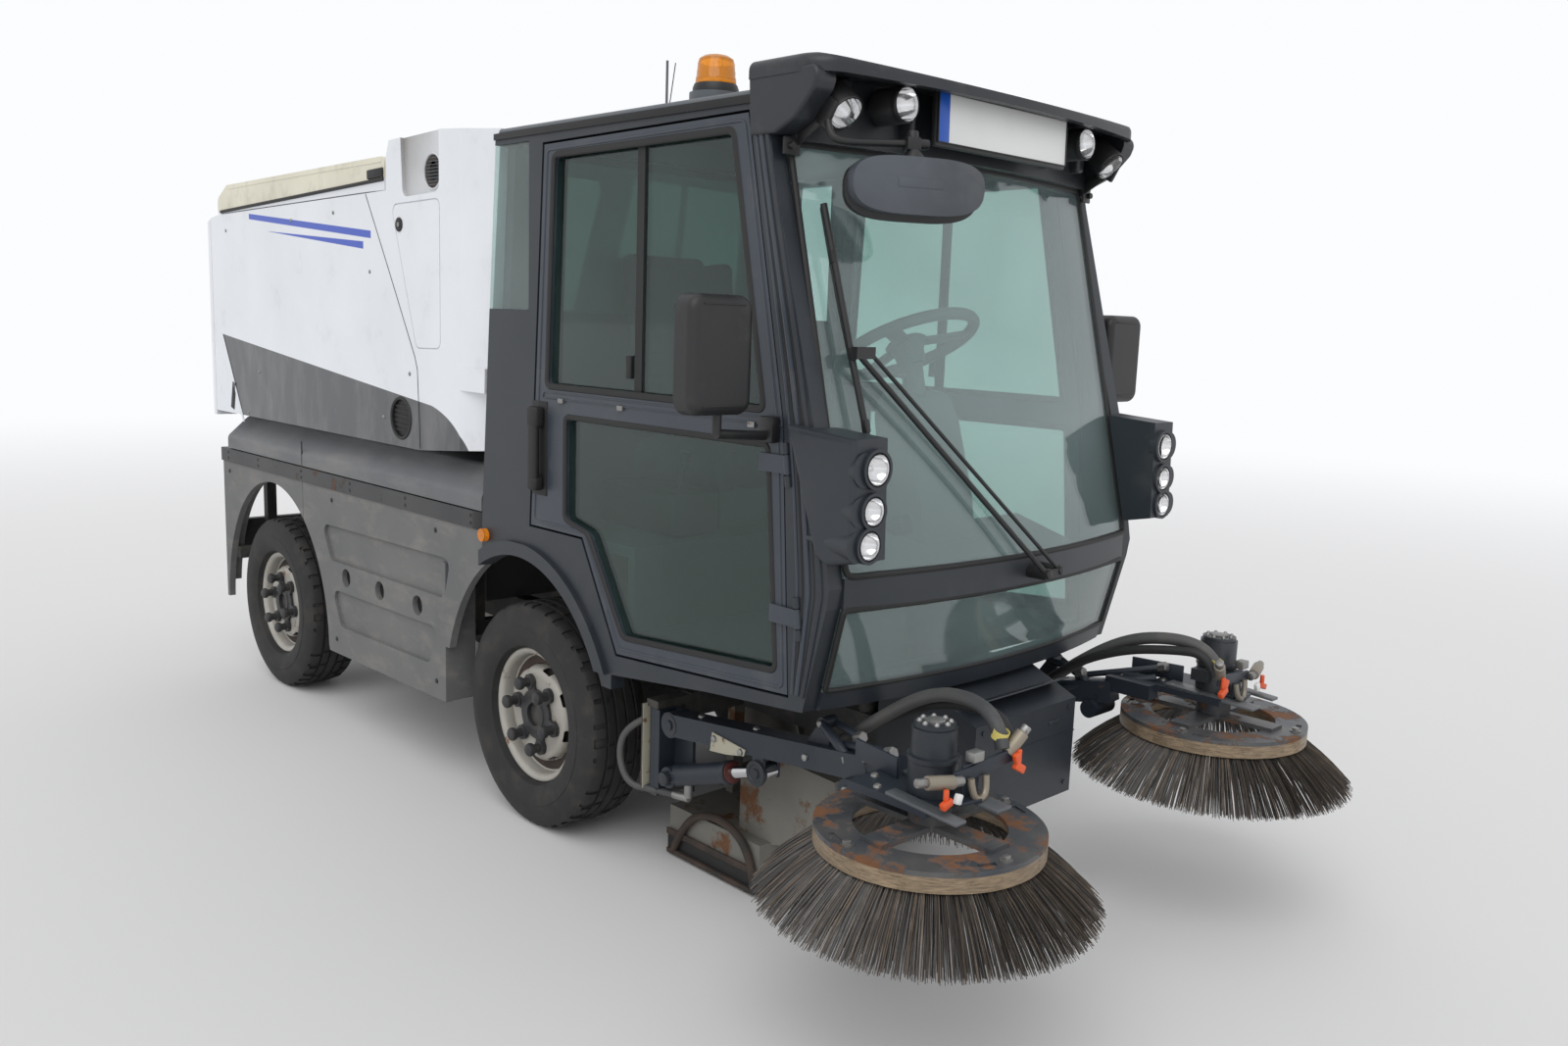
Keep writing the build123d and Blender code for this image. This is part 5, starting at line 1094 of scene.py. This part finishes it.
# ---- brush gear
gear = {"x": 0.480, "topX": 0.615, "topY": -1.810, "topBolts": 8, "topRing": 0.033, "discStarts": (8, 98, 188, 278),
        "discRing": 0.224, "eye": (-1.160, 0.430), "liftRun": (0, -0.94896, 0.31547), "liftRoot": (0.480, -0.790, 0.307)}
latch = [(-0.985, 0.494), (-1.116, 0.480), (-1.112, 0.462), (-1.040, 0.447), (-0.978, 0.440)]
sideways, slanting, upwards = (1, 0, 0), (0, -0.1, 1), (0, 0, 1)
boltPlaces = (((0.5160, -1.100, 0.470), sideways), ((0.5160, -0.995, 0.478), sideways), ((0.5110, -1.330, 0.520), sideways),
              ((0.480, -0.900, 0.5065), slanting), ((0.480, -1.120, 0.530), slanting), ((0.5600, -1.512, 0.503), sideways),
              ((0.5060, -1.372, 0.616), sideways), ((0.580, -1.672, 0.604), upwards), ((0.640, -1.672, 0.604), upwards),
              ((0.545, -1.720, 0.604), upwards), ((0.685, -1.720, 0.604), upwards))
joints = {"rear": (0.470, -1.470, 0.600), "low": (0.492, -1.500, 0.545), "inner": (0.515, -1.480, 0.560),
          "ahead": (0.535, -1.560, 0.590), "front": (0.585, -1.665, 0.640)}
linkRows = (((0.462, -1.372, 0.616), joints["rear"], 0.010), (joints["rear"], joints["low"], 0.012),
            ((0.455, -1.420, 0.545), (0.560, -1.660, 0.612), 0.011), ((0.490, -1.440, 0.580), joints["front"], 0.009),
            ((0.500, -1.372, 0.616), joints["inner"], 0.012), (joints["inner"], joints["ahead"], 0.009))
armBlocks = (("armPaint", (0.008, 0.110, 0.060), (0.545, -1.590, 0.585), (0, 0, 16), 0.002),
             ("armPaint", (0.008, 0.150, 0.046), (0.600, -1.640, 0.627), (0, 0, 10), 0.002),
             ("armPaint", (0.190, 0.010, 0.030), (0.545, -1.893, 0.668), (0, 6, 4), 0.003),
             ("armPaint", (0.060, 0.080, 0.008), (0.600, -1.872, 0.608), (0, 0, 12), 0.002),
             ("armPaint", (0.050, 0.008, 0.076), (0.585, -1.886, 0.645), (0, 0, 4), 0.002),
             ("tapOrange", (0.030, 0.014, 0.016), (0.690, -1.910, 0.625), (0, 18, 0), 0.003),
             ("tapOrange", (0.034, 0.014, 0.018), (0.452, -1.914, 0.650), (0, -30, 0), 0.003),
             ("tapOrange", (0.018, 0.012, 0.024), (0.462, -1.914, 0.672), (0, 20, 0), 0.003),
             ("plateWhite", (0.018, 0.012, 0.022), (0.655, -1.912, 0.628), (0, -20, 0), 0.003),
             ("zincSteel", (0.034, 0.026, 0.022), (0.585, -1.895, 0.700), (0, 0, 0), 0.003))
elbow, tip = (0.720, -1.880, 0.668), (0.655, -1.898, 0.660)
valveRows = ((elbow, tip, 0.0150, "valveBrass"), ((0.745, -1.874, 0.671), (0.718, -1.880, 0.668), 0.0100, "zincSteel"),
             (tip, (0.630, -1.900, 0.658), 0.0110, "zincSteel"),
             ((0.470, -1.893, 0.680), (0.435, -1.906, 0.722), 0.0150, "valveBrass"),
             ((0.435, -1.906, 0.722), (0.425, -1.910, 0.735), 0.0110, "zincSteel"),
             ((0.690, -1.908, 0.655), (0.690, -1.908, 0.632), 0.0060, "tapOrange"),
             ((0.452, -1.912, 0.690), (0.452, -1.912, 0.660), 0.0060, "tapOrange"))
tubeLoop = [(0.600, -1.900, 0.655), (0.598, -1.905, 0.618), (0.575, -1.908, 0.604), (0.552, -1.906, 0.618),
            (0.550, -1.900, 0.652)]
eyeBoss = [(0.5108, 0.034), (0.5185, 0.034), (0.5200, 0.032), (0.5200, 0.0235), (0.5180, 0.0215), (0.5180, 0.0140),
           (0.5215, 0.0125), (0.5217, 0.004)]


def motorHose(offset, finish):          # the second hose of a pair runs nearer the middle
    points = [(0.440 - offset, -1.380, 0.556), (0.420 - offset, -1.480, 0.640), (0.425 - offset, -1.640, 0.745 - offset),
              (0.450 - offset, -1.780, 0.770 - offset), (0.470 - offset, -1.865, 0.745), (0.478 - offset, -1.888, 0.690)]
    return paintWith(hose("bundle", points, 0.0165 - offset * 0.15, 4), finish)


def ringPlace(ring, angle):
    return gear["topX"] + ring * cos(angle), gear["topY"] + ring * sin(angle)


overTop = (gear["topX"], gear["topY"], 0)
nutShape = [(-0.014, 0.013), (-0.012, 0.015), (0.012, 0.015), (0.014, 0.013)]
onArm = made("latchCream", sheet("latchPlate", latch, 0.5135, 0.005, 0.0015))
onArm += made("zincSteel", *(dome("bolt", place, out, 0.010, 0.008) for place, out in boltPlaces))
onArm += made("motorSteel", pin("pivotCap", (0.5110, -0.800, 0.463), 0.0015, 0.030, 28))
onArm += made("armPaint", *(rod("link", start, end, radius, 14, 0.002) for start, end, radius in linkRows))
onArm += made("zincSteel", *(placed(turned("nut", nutShape, 6), place, 70) for place in joints.values()))
onArm += [paintWith(block("plate", size, place, turn, edge), finish) for finish, size, place, turn, edge in armBlocks]
topSpots = [ringPlace(gear["topRing"], 2 * pi * k / gear["topBolts"]) for k in range(gear["topBolts"])]
onArm += made("zincSteel", *(dome("topBolt", (*spot, 0.758), upwards, 0.0060, 0.007) for spot in topSpots),
              placed(turned("topDisc", [(0.7575, 0.022), (0.762, 0.022), (0.764, 0.018)], 32), overTop))
band = [(0.676, 0.0535), (0.678, 0.0560), (0.688, 0.0560), (0.690, 0.0495)]
onArm += made("motorSteel", placed(turned("band", band), overTop),
              placed(turned("eyeBoss", eyeBoss, 40), (0, *gear["eye"]), 90, "Y"))
for back, front, x, thick in ((-1.960, -1.700, 0.560, 0.050), (-1.950, -1.760, 0.690, 0.034)):
    outline = [(back, 0.600), (front, 0.612), (front, 0.604), (back, 0.592)]
    onArm += made("brushSteelPlain", sheet("vPlate", outline, x, thick, 0.002))
onArm += [paintWith(rod("valve", start, end, radius, 18, 0.002), finish) for start, end, radius, finish in valveRows]
onArm += made("valveBrass", hose("tubeLoop", tubeLoop, 0.0075, 3)) + [motorHose(0.0, "hoseGrey"), motorHose(0.028, "rubber")]
tie = turned("tie", [(-0.010, 0.0168), (-0.010, 0.0182), (0.010, 0.0182), (0.010, 0.0168)], 28, closed=True)
onArm += made("tieYellow", placed(tie, (0.4735, -1.876, 0.718), 18))
bothSides("arm_fittings", onArm, "arm_{side}")
onDisc = []
for start in gear["discStarts"]:
    for name, rings, segments in (("washer", [(0.535, 0.014), (0.538, 0.014)], 24),
                                  ("head", [(0.538, 0.010), (0.545, 0.010), (0.546, 0.008)], 6)):
        onDisc.append(placed(turned(name, rings, segments), (*ringPlace(gear["discRing"], radians(start)), 0)))
bothSides("disc_bolts", made("zincSteel", *onDisc), "brush_{side}")

run, root = Vector(gear["liftRun"]), Vector(gear["liftRoot"])
onBarrel = made("motorSteel", rod("gland", root + run * 0.232, root + run * 0.2515, 0.0335, 32, 0.003))
onBarrel += made("sealMaroon", rod("wiperRing", root + run * 0.2515, root + run * 0.2575, 0.0290, 32, 0.002))
onBarrel += made("zincSteel", rod("port", root + run * 0.064, (gear["x"], -0.851, 0.262), 0.012, 16, 0.002),
                 rod("ferrule", (gear["x"], -0.856, 0.262), (0.484, -0.795, 0.256), 0.0125, 16, 0.002))
onBarrel += made("motorSteel", pin("rootCap", (0.5095, *root[1:]), 0.016, 0.020, 24, 0.003))
bothSides("barrel_fittings", onBarrel, "lift_barrel_{side}")
liftHose = {"points": [(0.484, -0.800, 0.2565), (0.492, -0.710, 0.246), (0.530, -0.640, 0.250), (0.534, -0.598, 0.330),
                       (0.525, -0.620, 0.415), (0.500, -0.680, 0.450)],
            "radius": 0.0100, "start": (0.484, -0.760, 0.250), "end": (0.484, -0.660, 0.350)}
hoseLeft = paintWith(hose("lift_hose_left", liftHose["points"], liftHose["radius"], 4), "hoseGrey")
for item, side, sign in ((hoseLeft, "left", 1), (mirrored(hoseLeft, "lift_hose_right"), "right", -1)):
    smooth(item)
    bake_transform(item)
eyeGroove = turned("eyeGroove", [(0.508, 0.016), (0.5105, 0.018), (0.508, 0.020)], 32, closed=True)
bothSides("rod_eye", made("motorSteel", pin("eyeRing", (0.5000, *gear["eye"]), 0.0080, 0.0290, 32, 0.003),
                          placed(eyeGroove, (0, *gear["eye"]), 90, "Y")), "lift_rod_{side}")
print("stage: brush gear")

# ---- seat and dashboard
seat = {"pressure": 4.0, "frames": 20, "voxel": 0.006, "lean": -9.5, "weltX": (-0.150, 0.150),
        "welt": ((-0.640, 1.186), (-0.430, 1.1875), (-0.250, 1.186)),
        "cushions": (((0.462, 0.437, 0.106), (0, -0.4375, 1.130), 0, 0.030),
                     ((0.436, 0.072, 0.560), (0, -0.206, 1.477), 1, 0.026),
                     ((0.240, 0.060, 0.130), (0, -0.142, 1.700), 1, 0.026))}
steering = {"centre": (0, -1.150, 1.520), "tilt": 28, "radius": 0.200, "tube": 0.016, "points": 10, "spokes": (90, 210, 330),
            "hub": [(-0.060, 0.036), (-0.020, 0.042), (0.006, 0.058), (0.014, 0.050), (0.017, 0.030)],
            "cover": [(-1.345, 0.985), (-1.325, 1.120), (-1.262, 1.330), (-1.225, 1.395), (-1.165, 1.405), (-1.135, 1.340),
                      (-1.165, 1.180), (-1.215, 0.985)]}


def cushion(size, place, leans, edge):
    piece = block("cushion", size, place, (seat["lean"] * leans, 0, 0), edge, 4)
    onlyThis(piece)
    modified(piece, "REMESH", mode="VOXEL", voxel_size=seat["voxel"])
    cloth = piece.modifiers.new("padding", "CLOTH")
    cloth.settings.use_pressure = True
    cloth.settings.uniform_pressure_force = seat["pressure"]
    cloth.settings.effector_weights.gravity = 0
    cloth.settings.shrink_min = -0.02
    cloth.point_cache.frame_start = 1
    cloth.point_cache.frame_end = seat["frames"]
    for number in range(1, seat["frames"] + 1):
        scene.frame_set(number)
    applyAll(piece)
    scene.frame_set(1)
    return smooth(piece, 60)


seatParts = [cushion(*row) for row in seat["cushions"]]
seatParts += [hose("welt", [(x, y, z) for y, z in seat["welt"]], 0.004, 2) for x in seat["weltX"]]
seatWhole = joined("seat_upholstery", seatParts)
fit(seatWhole, "chassis", "seatFabric", 60)
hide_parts("seat_cushions")
around = [2 * pi * k / steering["points"] for k in range(steering["points"])]
ring = [(steering["radius"] * cos(angle), steering["radius"] * sin(angle), 0) for angle in around]
steerParts = [hose("steerRing", ring, steering["tube"], 4, 3, True), turned("steerHub", steering["hub"], 32)]
steerParts += [placed(block("spoke", (0.150, 0.046, 0.012), (0.105, 0, -0.002), (0, 4, 0), 0.005), (0, 0, 0), angle, "Z")
               for angle in steering["spokes"]]
steerParts = [placed(piece, steering["centre"], -steering["tilt"]) for piece in steerParts]
steerParts += [rod("column", (0, -1.170, 1.475), (0, -1.235, 1.180), 0.030, 24, 0.004),
               sheet("columnCover", steering["cover"], 0, 0.230, 0.022),
               rod("stalk", (-0.040, -1.185, 1.440), (-0.205, -1.185, 1.455), 0.007, 12, 0.003)]
steeringGear = fit(joined("steering_gear", made("wheelGrey", *steerParts)), "chassis")
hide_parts("steering_wheel")
controls = [block("panel", (0.300, 0.090, 0.050), (0, -1.255, 1.045), (-28, 0, 0), 0.010, 3),
            block("console", (0.170, 0.360, 0.130), (-0.330, -0.500, 1.020), edge=0.016, segments=3),
            rod("lever", (-0.330, -0.600, 1.080), (-0.330, -0.620, 1.170), 0.009, 14, 0.003),
            rod("knobTop", (-0.330, -0.621, 1.165), (-0.330, -0.626, 1.195), 0.018, 18, 0.006)]
fit(joined("cab_controls", controls), "chassis", "blackPlastic")
print("stage: cab inside")

print("stage: done")
